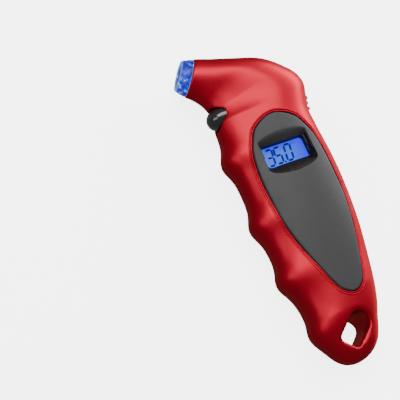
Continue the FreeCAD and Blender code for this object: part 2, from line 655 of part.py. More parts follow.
def half_shell(side):
    """One half of the casing with what both halves share."""
    outer = half_form(side)
    tube = prism(hole_outline(size("wall")), -FAR, FAR)
    shell = outer.cut(half_form(side, size("wall"), CAVITY_START, CAVITY_END).cut(tube))
    mid = size("mid")
    reach = (mid, mid + FAR) if side > 0 else (-FAR, mid)
    pillars = [Part.makeCylinder(size("boss_radius"), FAR, Vector(x, y, reach[0])) for x, y in spots(SCREWS)]
    back = -size("flange_back") - size("flange_thick") - size("rib_gap")
    front = size("rib_gap") - size("flange_back")
    thick = size("rib_thick")
    ribs = [nozzle_rod(size("rib_radius"), front, front + thick), nozzle_rod(size("rib_radius"), back - thick, back)]
    notch = wire_notch(back - thick, front + thick)
    height = size("trigger_height")
    board = (size("switch_board_face"), size("switch_board_face") + size("switch_board_thick"))
    grip = size("switch_board_length") / 2
    edge = size("guide_wall")
    guides = [block((board[0] - edge, board[1] + edge), around(height + way * grip, edge + size("guide_grip")),
                    around(mid, FAR)) for way in (-1, 1)]
    slack = size("board_gap")
    slot = block((board[0] - slack, board[1] + slack), around(height, grip + slack),
                 around(mid, size("switch_board_width") / 2 + slack))
    half_space = block((-FAR, FAR), (-FAR, FAR), reach)
    inside = Part.Compound([*pillars, *[rib.cut(notch) for rib in ribs], *guides]).common(half_space).common(outer)
    shell = shell.fuse(inside.Solids)
    length = size("ridge_length") / 2
    ridges = [Part.makeCylinder(size("ridge_radius"), length,
                                Vector(size("spine_reach") + x, size("ridge_top") + (k - 2) * size("ridge_pitch"),
                                       mid - (side < 0) * length))
              for k, x in enumerate(RIDGE_REACH)]
    shell = shell.fuse(ridges)
    gap = size("lens_gap")
    room = size("trigger_gap")
    lens_room = size("lens_back") + size("led_height") + size("led_board_thick") + size("led_gap")
    coil = size("spring_radius") + size("spring_wire") + size("spring_gap")
    tools = [
        prism(hole_outline(), -FAR, FAR),
        nozzle_rod(size("sleeve_radius") + gap, -lens_room, 1),
        nozzle_rod(size("chuck_radius") + gap, size("barb_end"), 1),
        nozzle_rod(size("flange_radius") + gap, back, front),
        oval(size("trigger_half_length") + room, size("trigger_half_width") + room,
             -FAR, size("trigger_back") + size("trigger_travel")),
        block((size("trigger_plate"), size("trigger_back") + size("trigger_travel")),
              around(height, size("trigger_half_length") + size("ear_reach") + room),
              around(mid, size("ear_half_width") + room)),
        Part.makeCylinder(coil, size("switch_face") - size("trigger_back"),
                          Vector(size("trigger_back"), height, mid), Vector(1, 0, 0)),
        slot,
    ]
    for tool in tools:
        shell = shell.cut(tool)
    return shell


def front_shell():
    shell = half_shell(1)
    outer = half_form(1)
    gap = size("panel_gap")
    ledge = (size("ledge_top") - size("ledge_height"), size("ledge_top"))
    opening = panel_outline(-size("panel_ledge"))
    ring = prism(panel_outline(gap), *ledge).cut(prism(opening, *ledge))
    bead = prism(panel_outline(gap + size("bead_width")), size("mid") + 1, FAR)
    bead = bead.common(half_form(1, -size("bead_height"))).cut(half_form(1, size("wall") / 2))
    shell = shell.fuse([bead, ring.common(outer)])
    shell = shell.cut(prism(panel_outline(gap), size("ledge_top"), FAR))
    shell = shell.cut(prism(opening, size("mid"), FAR))
    pilot = size("screw_radius") + size("pilot_room")
    for x, y in spots(SCREWS):
        shell = shell.cut(Part.makeCylinder(pilot, size("screw_bite") + size("pilot_depth"), Vector(x, y, size("mid"))))
    return shell


def rear_shell():
    shell = half_shell(-1)
    outer = half_form(-1)
    root = size("wall") / 4
    posts = [Part.makeCylinder(size("post_radius"), size("board_level") - root, Vector(x, y, root))
             for x, y in spots(POSTS)]
    screw = Vector(size("battery_middle"), size("door_screw_place"), root)
    posts.append(Part.makeCylinder(size("door_post"), size("door_screw_length") + size("pilot_depth"), screw))
    shell = shell.fuse([post.common(outer) for post in posts])
    rows = (size("tray_end") + size("tray_gap"), size("door_start") - size("tray_gap"))
    grow = size("door_ledge") + size("door_gap")
    middle, half = size("battery_middle"), size("door_half")
    pilot = size("door_screw_shank") + size("pilot_room")
    tools = [
        block(around(middle, half), rows, (-1, 2 * size("wall"))),
        block(around(middle, half + grow), (size("door_end") - size("door_gap"), rows[1] + grow),
              (-1, size("door_thick") + size("pilot_room"))),
        Part.makeCylinder(pilot, size("door_screw_length") + size("pilot_room"), Vector(screw.x, screw.y, 0)),
    ]
    depth = size("board_screw_bite")
    tools += [Part.makeCylinder(size("board_screw_shank"), depth, Vector(x, y, size("board_level") - depth))
              for x, y in spots(POSTS)]
    for x, y in spots(SCREWS):
        tools.append(Part.makeCylinder(size("screw_head") + size("screw_room"), size("screw_sink"), Vector(x, y, 0)))
        tools.append(Part.makeCylinder(size("screw_radius") + size("shank_room"), size("mid"), Vector(x, y, 0)))
    for tool in tools:
        shell = shell.cut(tool)
    return shell


def made(name, shape):
    """A piece whose shape is worked out in code from the sheet."""
    piece = doc.addObject("Part::Feature", name)
    piece.Shape = shape
    return node(name, piece)


made("front_shell", front_shell())
made("rear_shell", rear_shell())


# ---- display ----

def scoop():
    """The eye-shaped scoop: arched above and below at the crown, the display's rectangle at its bottom."""
    middle, row = size("panel_middle"), size("lcd_middle")
    rim = size("panel_crown_top") + 0.5
    half, side = size("scoop_width") / 2, size("scoop_side") / 2
    arch = size("scoop_height") / 2
    corners = [Vector(middle + a * half, row + b * side, rim) for a, b in ((-1, -1), (1, -1), (1, 1), (-1, 1))]
    lower = Part.Arc(corners[0], Vector(middle, row - arch, rim), corners[1]).toShape()
    upper = Part.Arc(corners[2], Vector(middle, row + arch, rim), corners[3]).toShape()
    sides = [Part.LineSegment(corners[a], corners[b]).toShape() for a, b in ((1, 2), (3, 0))]
    mouth = Part.Wire([lower, sides[0], upper, sides[1]])
    half, side = size("view_width") / 2, size("view_height") / 2
    low = [Vector(middle + a * half, row + b * side, size("window_top"))
           for a, b in ((-1, -1), (1, -1), (1, 1), (-1, 1), (-1, -1))]
    return Part.makeLoft([mouth, Part.makePolygon(low)], True, True)


def display_panel():
    skin = size("panel_skin")
    top = size("crown_top") + 5
    inner = prism(panel_outline(-skin), size("ledge_top") - 1, top).common(crown(skin))
    panel = prism(panel_outline(), size("ledge_top"), top).common(crown()).cut(inner)
    x = around(size("panel_middle"), size("view_width") / 2 + size("window_margin") + 1.2)
    y = around(size("lcd_middle"), size("view_height") / 2 + size("window_margin") + 1.2)
    collar = block(x, y, (size("window_bottom"), top)).common(crown())
    collar = collar.common(prism(panel_outline(-size("panel_ledge") - 0.2), 0, top))
    panel = panel.fuse(collar).cut(scoop())
    x = around(size("panel_middle"), size("view_width") / 2 + size("window_margin"))
    y = around(size("lcd_middle"), size("view_height") / 2 + size("window_margin"))
    panel = panel.cut(block(x, y, (0, size("window_top"))))
    x = around(size("panel_middle"), size("view_width") / 2)
    y = around(size("lcd_middle"), size("view_height") / 2)
    return panel.cut(block(x, y, (0, size("window_top") + 0.2)))


made("display_panel", display_panel())


def plate(name, x, y, z, role="XY_Plane"):
    """A flat rectangular piece between low and high expressions on each axis."""
    owner = body(name)
    pad(owner, name + "_pad", rectangle(x, y), z[0], z[1])
    return owner


def span(middle, half):
    return (f"{middle} - ({half})", f"{middle} + ({half})")


VIEW_X = "view_width / 2 + window_margin - stack_gap"
VIEW_Y = "view_height / 2 + window_margin - stack_gap"
plate("display_window", span("panel_middle", VIEW_X), span("lcd_middle", VIEW_Y), ("window_bottom", "window_top"))
plate("lcd_glass", span("panel_middle", "lcd_half_width"), span("lcd_middle", "lcd_half_height"),
      ("lcd_bottom", "lcd_top"))
plate("backlight_panel", span("panel_middle", "lcd_half_width"), span("lcd_middle", "lcd_half_height - lcd_ledge"),
      ("lcd_bottom - stack_gap - backlight_thick", "lcd_bottom - stack_gap"))
plate("backlight_led", ("panel_middle - 1.5", "panel_middle + 1.5"),
      ("lcd_middle + lcd_half_height - lcd_ledge + 0.1", "lcd_middle + lcd_half_height - lcd_ledge + 1.3"),
      ("lcd_bottom - stack_gap - backlight_thick", "lcd_bottom - stack_gap - 0.6"))
plate("contact_strip", span("panel_middle", "lcd_half_width - 1"),
      ("lcd_middle - lcd_half_height + 0.3", "lcd_middle - lcd_half_height + 2.5"), ("board_face", "lcd_bottom"))

lcd_frame = body("lcd_frame")
pad(lcd_frame, "frame_block", rectangle(span("panel_middle", "lcd_half_width + stack_gap + frame_wall"),
                                        span("lcd_middle", "lcd_half_height + stack_gap + frame_wall")),
    "board_face", "lcd_top")
pocket(lcd_frame, "frame_opening", rectangle(span("panel_middle", "lcd_half_width + stack_gap"),
                                             span("lcd_middle", "lcd_half_height + stack_gap")),
       "board_face", "lcd_top")

# ---- main board ----

main_board = body("main_board")
BOARD_CORNERS = (
    ("0 - board_left", "0 - board_bottom"), ("board_right", "0 - board_bottom"), ("board_right", "board_shoulder"),
    ("neck_right", "board_shoulder"), ("neck_right", "board_top"), ("neck_left", "board_top"),
    ("neck_left", "board_shoulder"), ("0 - board_left", "board_shoulder"))
pad(main_board, "board_pad", BOARD_CORNERS, "board_level", "board_face")
board_holes = [rod(f"board_hole_{k}", "board_screw_hole", "3 * board_thick", x, y, "board_level - board_thick")
               for k, (x, y) in enumerate(POSTS)]
drilled = cut("drilled_board", main_board, fuse("board_holes", board_holes))
NODES["main_board"] = drilled
main_board.Label = "main_board_blank"
drilled.Label = "main_board"

board_screws = []
for k, (x, y) in enumerate(POSTS):
    board_screws.append(rod(f"board_head_{k}", "board_screw_head", "board_head_thick", x, y, "board_face"))
    board_screws.append(rod(f"board_shank_{k}", "board_screw_shank", "board_thick + board_screw_bite", x, y,
                            "board_level - board_screw_bite"))
node("board_screws", fuse("board_screws", board_screws))

plate("controller_chip", ("0", "9"), ("lcd_middle - 5", "lcd_middle + 4"), ("board_face", "board_face + 1.4"))
plate("boost_inductor", ("neck_right - 6.2", "neck_right - 1.2"), ("board_shoulder + 0.8", "board_shoulder + 4.6"),
      ("board_face", "board_face + 2.6"))
PART_PLACES = ((-9.5, 20.0), (-9.5, 17.0), (-9.5, 14.0), (-9.5, 10.0), (12.0, 20.0), (15.0, 20.0), (12.0, 12.0))
board_parts = [box(f"chip_part_{k}", (f"{x}", f"{x} + 1.6"), (f"{y}", f"{y} + 0.8"),
                   ("board_level - 0.7", "board_level")) for k, (x, y) in enumerate(PART_PLACES)]
node("board_parts", fuse("board_parts", board_parts))

SENSOR_Y = ("board_top - sensor_length - 0.4", "board_top - 0.4")
sensor_block = box("sensor_block", span("sensor_place", "sensor_width / 2"), SENSOR_Y,
                   ("board_face", "board_face + sensor_height"))
sensor_port = rod("sensor_port", "port_radius", "port_length + 1", "sensor_place", "board_top - 1.4", "mid", "Y")
sensor_way = rod("sensor_way", "air_radius", "port_length + 6", "sensor_place", "board_top - 3", "mid", "Y")
node("pressure_sensor", cut("pressure_sensor", fuse("sensor_solid", [sensor_block, sensor_port]), sensor_way))

# ---- nozzle: turned pieces, drawn about their own Z axis with the rim at zero ----

def turned(name, corners):
    owner = body(name)
    revolve(owner, name + "_turned", corners)
    owner.Placement = NOZZLE_PLACE
    return owner


SEAT = "valve_bore + seal_grip"
chuck = turned("nozzle_body_blank", [
    ("valve_bore", "chuck_mouth"), ("chuck_radius", "chuck_mouth"),
    ("chuck_radius", "0 - flange_back"), ("flange_radius", "0 - flange_back"),
    ("flange_radius", "0 - flange_back - flange_thick"), ("barb_radius", "0 - flange_back - flange_thick"),
    ("barb_radius", "barb_end"), ("air_radius", "barb_end"), ("air_radius", "seal_back"), (SEAT, "seal_back"),
    (SEAT, "seal_face"), ("valve_bore", "seal_face")])
chuck_notch = doc.addObject("Part::Box", "chuck_notch")
NOTCH_HALF = "(wire_pitch / 2 + wire_radius + wire_room)"
bind(chuck_notch, Length=f"2 * {NOTCH_HALF}", Width="flange_radius", Height="flange_thick + 2 * rib_gap")
notch_start = Vector(-size("wire_pitch") / 2 - size("wire_radius") - size("wire_room"),
                     -size("wire_reach") + size("wire_radius") + size("wire_room") / 2 - size("flange_radius"),
                     -size("flange_back") - size("flange_thick") - size("rib_gap"))
chuck_notch.Placement = NOZZLE_PLACE * Placement(notch_start, Rotation())
del NODES["nozzle_body_blank"]
node("nozzle_body", cut("nozzle_body_notched", chuck, chuck_notch))
turned("valve_seal", [("seal_hole", "seal_back"), (SEAT, "seal_back"), (SEAT, "seal_face"),
                      ("seal_hole", "seal_face")])
turned("nozzle_lens", [
    ("lens_inner", "0 - lens_back"), ("sleeve_radius", "0 - lens_back"), ("sleeve_radius", "0.05"),
    ("rim_radius - lens_inset", "0.05"), ("rim_radius - lens_inset - lens_taper", "lens_front"),
    ("chuck_radius - 0.3", "lens_front"), ("chuck_radius - 0.3", "chuck_mouth + 0.1"),
    ("lens_inner", "chuck_mouth + 0.1")])
turned("nozzle_led_board", [("lens_inner", "led_board_face - led_board_thick"),
                            ("sleeve_radius", "led_board_face - led_board_thick"),
                            ("sleeve_radius", "led_board_face"), ("lens_inner", "led_board_face")])

# The depressor stands on a three-legged foot on the chuck's floor, inside the seal's hole.
pin = doc.addObject("Part::Cylinder", "pin_rod")
bind(pin, Radius="pin_radius", Height="seal_thick - pin_drop - foot_height / 2",
     Placement_Base_z="seal_back + foot_height / 2")
foot = [doc.addObject("Part::Box", f"pin_foot_{k}") for k in range(3)]
for k, leg in enumerate(foot):
    bind(leg, Length="seal_hole - 0.05", Width="0.6", Height="foot_height")
    turn = Rotation(Vector(0, 0, 1), 120 * k)
    leg.Placement = Placement(turn.multVec(Vector(0, -0.3, size("seal_back"))), turn)
depressor = fuse("depressor_pin", [pin, *foot])
depressor.Placement = NOZZLE_PLACE
node("depressor_pin", depressor)

leds = []
for k in range(3):
    led = doc.addObject("Part::Box", f"nozzle_led_{k}")
    bind(led, Length="sleeve_radius - lens_inner - 2 * led_margin", Width="1.7", Height="led_height - 0.05")
    turn = Rotation(Vector(0, 0, 1), 120 * k + 60)
    led.Placement = Placement(
        turn.multVec(Vector(size("lens_inner") + size("led_margin"), -0.85, size("led_board_face"))), turn)
    leds.append(led)
nozzle_leds = fuse("nozzle_leds", leds)
nozzle_leds.Placement = NOZZLE_PLACE
node("nozzle_leds", nozzle_leds)

# ---- hose from the chuck's barb to the sensor's port ----

BARB_PLACE = RIM_CENTRE + NOZZLE_AXIS * (size("barb_end") + size("hose_overlap"))
PORT_PLACE = Vector(size("sensor_place"), size("board_top") - 0.4 + size("port_length") - size("hose_overlap"),
                    size("mid"))


def ring(centre, along, inner, outer, length):
    solid = Part.makeCylinder(outer, length, centre, along)
    return solid.cut(Part.makeCylinder(inner, length, centre, along))


def route(points, radius):
    """A path of straight runs joined by tangent arcs."""
    edges = []
    start = points[0]
    for before, corner, after in zip(points, points[1:], points[2:]):
        back, on = (before - corner).normalize(), (after - corner).normalize()
        half_turn = back.getAngle(on) / 2
        reach = radius / math.tan(half_turn)
        first, last = corner + back * reach, corner + on * reach
        centre = corner + (back + on).normalize() * (radius / math.sin(half_turn))
        middle = centre + (corner - centre).normalize() * radius
        edges += [Part.LineSegment(start, first).toShape(), Part.Arc(first, middle, last).toShape()]
        start = last
    edges.append(Part.LineSegment(start, points[-1]).toShape())
    return Part.Wire(edges)


def tube_along(path, radius):
    start = path.Edges[0].valueAt(path.Edges[0].FirstParameter)
    way = path.Edges[0].tangentAt(path.Edges[0].FirstParameter)
    profile = Part.Wire([Part.Circle(start, way, radius).toShape()])
    return path.makePipeShell([profile], True, True)


HOSE_CORNER = BARB_PLACE - NOZZLE_AXIS * ((BARB_PLACE.x - PORT_PLACE.x) / NOZZLE_AXIS.x)
HOSE_BEND = 0.8 * (HOSE_CORNER - PORT_PLACE).Length * math.tan((math.pi - NOZZLE_TURN) / 2)
hose_path = route([BARB_PLACE, HOSE_CORNER, PORT_PLACE], HOSE_BEND)
hose_bore = size("barb_radius")
hose = tube_along(hose_path, hose_bore + size("hose_wall"))
made("sensor_hose", hose.cut(tube_along(hose_path, hose_bore)))
clip_inner = hose_bore + size("hose_wall")
clips = [ring(BARB_PLACE - NOZZLE_AXIS * (0.6 + size("clip_width")), NOZZLE_AXIS, clip_inner,
              clip_inner + size("clip_thick"), size("clip_width")),
         ring(PORT_PLACE + Vector(0, 0.6, 0), Vector(0, 1, 0), clip_inner,
              clip_inner + size("clip_thick"), size("clip_width"))]
made("hose_clips", Part.Compound(clips))

# ---- trigger, its spring and its switch ----


def trigger_button():
    """A domed oval cap on a plate with two ears, and a stem that reaches the switch."""
    height, mid = size("trigger_height"), size("mid")
    dome = Part.makeSphere(1.0, Vector(), Vector(-1, 0, 0), 0, 90)
    stretch = FreeCAD.Matrix()
    stretch.scale(size("trigger_dome"), size("trigger_half_length"), size("trigger_half_width"))
    dome = dome.transformGeometry(stretch)
    dome.translate(Vector(size("trigger_plate"), height, mid))
    plate_x = (size("trigger_plate"), size("trigger_back"))
    ears = block(plate_x, around(height, size("trigger_half_length") + size("ear_reach")),
                 around(mid, size("ear_half_width")))
    stem = Part.makeCylinder(size("stem_radius"), size("stem_length") + 0.5,
                             Vector(plate_x[1] - 0.5, height, mid), Vector(1, 0, 0))
    return dome.fuse([ears, stem])


made("trigger_button", trigger_button())

switch = box("tactile_switch", ("switch_face", "switch_board_face"), span("trigger_height", "switch_size / 2"),
             span("mid", "switch_size / 2"))
well = rod("plunger_well", "stem_radius + 0.05", "trigger_travel + 1", "switch_face", "trigger_height", "mid", "X")
node("tactile_switch", cut("tactile_switch_cut", switch, well))
node("switch_plunger", rod("switch_plunger", "stem_radius", "plunger_proud + 0.6", "plunger_tip", "trigger_height",
                           "mid", "X"))
plate("switch_board", ("switch_board_face", "switch_board_face + switch_board_thick"),
      span("trigger_height", "switch_board_length / 2"), span("mid", "switch_board_width / 2"))


def trigger_spring():
    """A coil between the trigger's plate and the switch board, round the stem and the switch."""
    wire = size("spring_wire")
    start = size("trigger_back") + wire
    length = size("switch_board_face") - wire - start
    coil = Part.makeHelix(length / size("spring_turns"), length, size("spring_radius"))
    way = coil.Edges[0].tangentAt(coil.Edges[0].FirstParameter)
    profile = Part.Wire([Part.Circle(Vector(size("spring_radius"), 0, 0), way, wire).toShape()])
    spring = Part.Wire(coil).makePipeShell([profile], True, True)
    spring.rotate(Vector(), Vector(0, 1, 0), 90)
    spring.translate(Vector(start, size("trigger_height"), size("mid")))
    return spring


made("trigger_spring", trigger_spring())

# ---- batteries ----

tray = body("battery_tray")
TRAY_X = span("battery_middle", "tray_half")
pad(tray, "tray_floor", rectangle(TRAY_X, ("tray_end", "0 - tray_start")), "tray_level",
    "coin_level + coin_thick + contact_thick + 1.4")
pad(tray, "tray_roof", rectangle(span("battery_middle", "stack_half + 2 * contact_thick + cell_gap + tray_wall"),
                                 ("cell_row - cell_pocket - tray_wall", "0 - tray_start")),
    "tray_level", "cell_level + cell_radius + cell_gap + tray_wall")
pocket(tray, "cell_room", rectangle(span("battery_middle", "stack_half + 2 * contact_thick"),
                                    ("cell_row - cell_pocket", "cell_row + cell_pocket")),
       "tray_level", "cell_level + cell_radius + cell_gap")
coin_room = rod("coin_room", "coin_radius + cell_gap", "coin_thick + contact_thick", "battery_middle", "coin_row",
                "coin_level")
tray_cut = cut("battery_tray_cut", tray, coin_room)
tray.Label = "battery_tray_blank"
NODES["battery_tray"] = tray_cut
tray_cut.Label = "battery_tray"

for k in range(3):
    node(f"gauge_cell_{k + 1}", rod(f"gauge_cell_{k + 1}", "cell_radius", "cell_thick",
                                    f"battery_middle - stack_half + {k} * cell_thick", "cell_row", "cell_level", "X"))
node("coin_cell", rod("coin_cell", "coin_radius", "coin_thick", "battery_middle", "coin_row", "coin_level"))
node("coin_contact", rod("coin_contact", "coin_radius - 2", "contact_thick", "battery_middle", "coin_row",
                         "coin_level + coin_thick"))
for name, low, high in (("cell_contact_minus", "0 - contact_thick", "0"), ("cell_contact_plus", "0", "contact_thick")):
    end = "battery_middle - stack_half" if low != "0" else "battery_middle + stack_half"
    plate(name, (f"{end} + {low}", f"{end} + {high}"), span("cell_row", "cell_radius - 1"),
          ("cell_level - 4", "cell_level + 4"))

door = body("battery_door")
pad(door, "door_plate", rectangle(span("battery_middle", "door_half + door_ledge"),
                                  ("door_end", "door_start + door_ledge")), "0", "door_thick")
for way in (-1, 1):
    hook_x = span(f"battery_middle + {way} * hook_space / 2", "hook_width / 2")
    side = "left" if way < 0 else "right"
    pad(door, f"hook_post_{side}", rectangle(hook_x, ("door_start - 1.2", "door_start - 0.2")),
        "door_thick", "wall + 1.1")
    pad(door, f"hook_foot_{side}", rectangle(hook_x, ("door_start - 1.2", "door_start + hook_reach")),
        "wall + 0.1", "wall + 1.1")
door_hole = rod("door_hole", "door_screw_shank + 0.15", "door_thick + 2", "battery_middle", "door_screw_place", "-1")
door_sink = doc.addObject("Part::Cone", "door_sink")
bind(door_sink, Radius1="door_screw_head", Radius2="door_screw_shank + 0.15", Height="door_thick",
     Placement_Base_x="battery_middle", Placement_Base_y="door_screw_place")
door_cut = cut("battery_door_cut", door, fuse("door_holes", [door_hole, door_sink]))
door.Label = "battery_door_blank"
NODES["battery_door"] = door_cut
door_cut.Label = "battery_door"
screw_head = doc.addObject("Part::Cone", "door_screw_head")
bind(screw_head, Radius1="door_screw_head - 0.05", Radius2="door_screw_shank", Height="door_thick",
     Placement_Base_x="battery_middle", Placement_Base_y="door_screw_place")
node("door_screw", fuse("door_screw", [screw_head, rod("door_screw_shank", "door_screw_shank", "door_screw_length",
                                                       "battery_middle", "door_screw_place")]))
node("battery_pad", rod("battery_pad", "coin_radius - 3", "wall - door_thick", "battery_middle", "coin_row",
                        "door_thick"))

# ---- case screws and wires ----

case_screws = []
for k, (x, y) in enumerate(SCREWS):
    case_screws.append(rod(f"case_head_{k}", "screw_head", "head_thick", x, y, "screw_sink - head_thick"))
    case_screws.append(rod(f"case_shank_{k}", "screw_radius", "mid - screw_sink + screw_bite", x, y, "screw_sink"))
node("case_screws", fuse("case_screws", case_screws))


def wire(name, points):
    return made(name, tube_along(route(points, size("wire_bend")), size("wire_radius")))


CELL_WIRE_SPREAD = 5.0
LAMP_RUN = 15.0
for way, colour in ((1, "red"), (-1, "black")):
    face, row = size("board_face"), size("wire_row")
    x = size("battery_middle") + way * CELL_WIRE_SPREAD
    level = size("mid")
    landing = -size("board_bottom") + 3
    wire(f"battery_wire_{colour}", [Vector(x, -size("tray_start"), level), Vector(x, landing, level),
                                    Vector(x, landing, face)])
    start = size("switch_board_face") + size("switch_board_thick")
    x = size("neck_left") + size("wire_pitch") + way * size("wire_pitch") / 2
    level = face + size("wire_bend") + size("wire_pitch") * (1 + way / 2)
    wire(f"switch_wire_{colour}", [Vector(start, row, level), Vector(x, row, level), Vector(x, row, face)])
    across = Vector(-NOZZLE_AXIS.y, NOZZLE_AXIS.x, 0) * (-way * size("wire_pitch") / 2)
    raised = RIM_CENTRE + Vector(0, 0, size("wire_reach")) + across
    start = raised + NOZZLE_AXIS * (size("led_board_face") - size("led_board_thick"))
    x = size("post_neck") + way * (size("board_screw_head") - 0.3)
    wire(f"lamp_wire_{colour}", [start, start - NOZZLE_AXIS * LAMP_RUN, Vector(x, row, start.z), Vector(x, row, face)])


def check(made_node, name):
    shape = made_node.Shape
    if shape.isNull() or not shape.isValid() or not shape.Solids:
        raise RuntimeError(f"{name} has no valid solid")


doc.recompute()
for item in doc.Objects:
    if {"Invalid", "Error"} & set(item.State):
        raise RuntimeError(f"{item.Label} failed: {item.State}")
for name, item in NODES.items():
    check(item, name)

os.makedirs("parts", exist_ok=True)
for name, item in NODES.items():
    item.Shape.exportStep(f"parts/{name}.step")
    print(name, len(item.Shape.Solids), round(item.Shape.Volume, 1))
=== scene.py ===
"""Looks of a digital tyre pressure gauge: satin red casing, dark display panel, lit display and lit nozzle.

Lengths are millimetres until mesh_piece() turns them into metres, except in the materials and the lights.
"""
import json
import math

import bmesh
import bpy
import numpy as np
from mathutils import Matrix, Vector
from mathutils.geometry import interpolate_bezier


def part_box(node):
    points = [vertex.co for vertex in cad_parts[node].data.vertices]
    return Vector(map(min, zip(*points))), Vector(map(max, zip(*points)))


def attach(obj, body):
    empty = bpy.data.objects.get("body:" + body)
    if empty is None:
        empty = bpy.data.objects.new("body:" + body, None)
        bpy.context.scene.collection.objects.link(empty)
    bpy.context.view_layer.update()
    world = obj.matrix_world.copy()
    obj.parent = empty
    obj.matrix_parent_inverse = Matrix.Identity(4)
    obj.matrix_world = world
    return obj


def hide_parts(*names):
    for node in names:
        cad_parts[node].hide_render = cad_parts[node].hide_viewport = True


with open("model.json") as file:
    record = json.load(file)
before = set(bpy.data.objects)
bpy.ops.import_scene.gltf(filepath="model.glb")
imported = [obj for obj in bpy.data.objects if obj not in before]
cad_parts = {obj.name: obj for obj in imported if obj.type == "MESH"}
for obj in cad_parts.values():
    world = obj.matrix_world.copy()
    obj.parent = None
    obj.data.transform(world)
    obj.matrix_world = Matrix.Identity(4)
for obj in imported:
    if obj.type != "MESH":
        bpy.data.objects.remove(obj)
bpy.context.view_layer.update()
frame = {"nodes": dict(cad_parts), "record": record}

MM = 0.001


def box_mm(node):
    """Lowest and highest corner of a CAD node in millimetres."""
    return [Vector(corner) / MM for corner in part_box(node)]


def middle(node):
    low, high = box_mm(node)
    return (low + high) / 2


# ---- camera ----

VIEW_TURN, VIEW_TILT, VIEW_ROLL = (math.radians(a) for a in (20.0, 13.5, 24.0))
FOCAL, SENSOR, IMAGE = 100.0, 36.0, 400
PIXELS_PER_MM = 2.244
AIM_OFFSET = (-37.9, -2.2)


def make_camera():
    """A long lens over the display, turned to the finger side and rolled."""
    right = Vector((math.cos(VIEW_TURN), 0, math.sin(VIEW_TURN)))
    back = Vector((-math.sin(VIEW_TURN) * math.cos(VIEW_TILT), -math.sin(VIEW_TILT),
                   math.cos(VIEW_TURN) * math.cos(VIEW_TILT)))
    up = back.cross(right)
    across = math.cos(VIEW_ROLL) * right - math.sin(VIEW_ROLL) * up
    upward = math.sin(VIEW_ROLL) * right + math.cos(VIEW_ROLL) * up
    target = Vector((0, 0, PARTING)) + across * AIM_OFFSET[0] + upward * AIM_OFFSET[1]
    distance = IMAGE * FOCAL / (SENSOR * PIXELS_PER_MM)
    camera = bpy.data.objects.new("camera", bpy.data.cameras.new("camera"))
    camera.data.lens = FOCAL
    camera.data.sensor_width = SENSOR
    place = Matrix((across, upward, back)).transposed().to_4x4()
    place.translation = (target + back * distance) * MM
    camera.matrix_world = place
    bpy.context.scene.collection.objects.link(camera)
    bpy.context.scene.camera = camera


# ---- the casing's form, in millimetres ----

PARTING = box_mm("front_shell")[0].z
TAIL_END = box_mm("front_shell")[0].y
VALVE = next(m for m in frame["record"]["mounts"] if m["name"] == "valve_bore")
NOZZLE_AXIS = Vector(VALVE["axis"])
CHUCK_MOUTH = 4.4
VALVE_DEPTH = 9.5
RIM_CENTRE = Vector(VALVE["pos_m"]) / MM - NOZZLE_AXIS * (CHUCK_MOUTH - VALVE_DEPTH / 2)
HEAD_ANGLE = math.atan2(-NOZZLE_AXIS.x, NOZZLE_AXIS.y)
TURN = np.array([-35.0, 40.0])
NOZZLE_REACH = (RIM_CENTRE.x - TURN[0]) / math.cos(HEAD_ANGLE)
HANDLE_LENGTH = TURN[1] - TAIL_END
SPINE_REACH, FINGER_REACH = 27.8, 17.1
CREST_HEIGHT, CREST_SPREAD = 3.2, 6.3
TAIL_OFFSET, TAIL_ROUND = 2.4, 14.0
CROWN_DEPTH, BACK_DEPTH = 12.6, 13.6
SIDE_DEPTH, BACK_SIDE_DEPTH = 11.8, 13.4
SADDLE_DEPTH, TAIL_DEPTH = 8.8, 8.6
RIM_RADIUS = 8.95
WALL = 2.2

# Power of the section's curve: 2 is round, and more is boxier.
ROUND, SPINE_BLUNT, FINGER_BLUNT, BACK_BLUNTER = 2.0, 2.9, 2.4, 0.6
# First station and length, in stations, of the turn from a handle's section to a round nozzle.
ROUNDING_START, ROUNDING_LENGTH = 1.1, 0.9
SADDLE_END, SADDLE_FADE = 1.5, 0.5
RIDGE_SHIFT = 0.6

# Shares of the handle's length and of the side's reach.
SPINE_LINE = ((0.0, 0.42), (0.10, 0.47), (0.18, 0.61), (0.33, 0.79), (0.48, 0.92), (0.63, 0.99), (0.75, 1.0),
              (0.88, 0.975), (0.95, 0.972), (1.0, 1.04))
FINGER_LINE = ((0.0, 0.80), (0.10, 0.79), (0.16, 0.80), (0.23, 0.88), (0.34, 0.99), (0.46, 1.05),
               (0.72, 1.06), (0.9, 1.03), (1.0, 1.0))
FINGER_CRESTS = (0.146, 0.363, 0.589, 0.852)
HEAD_SPINE = ((0.0, 0.0), (0.09, -0.08), (0.17, -0.055), (0.26, 0.06), (0.41, 0.27), (0.61, 0.64),
              (0.78, 0.85), (1.0, 1.0))
HEAD_FINGER = ((0.0, 0.0), (0.2, 0.35), (0.41, 0.57), (0.6, 0.72), (0.8, 0.89), (1.0, 1.0))
TAIL_RISE = ((0.0, 0.0), (0.06, 0.05), (0.17, 0.75), (0.25, 1.0))
CROWN_FALL = ((1.0, 0.0), (1.25, 0.08), (1.5, 0.4), (1.75, 0.75), (2.0, 1.0))
SADDLE_RISE = ((0.85, 0.0), (1.05, 0.55), (1.25, 1.0))


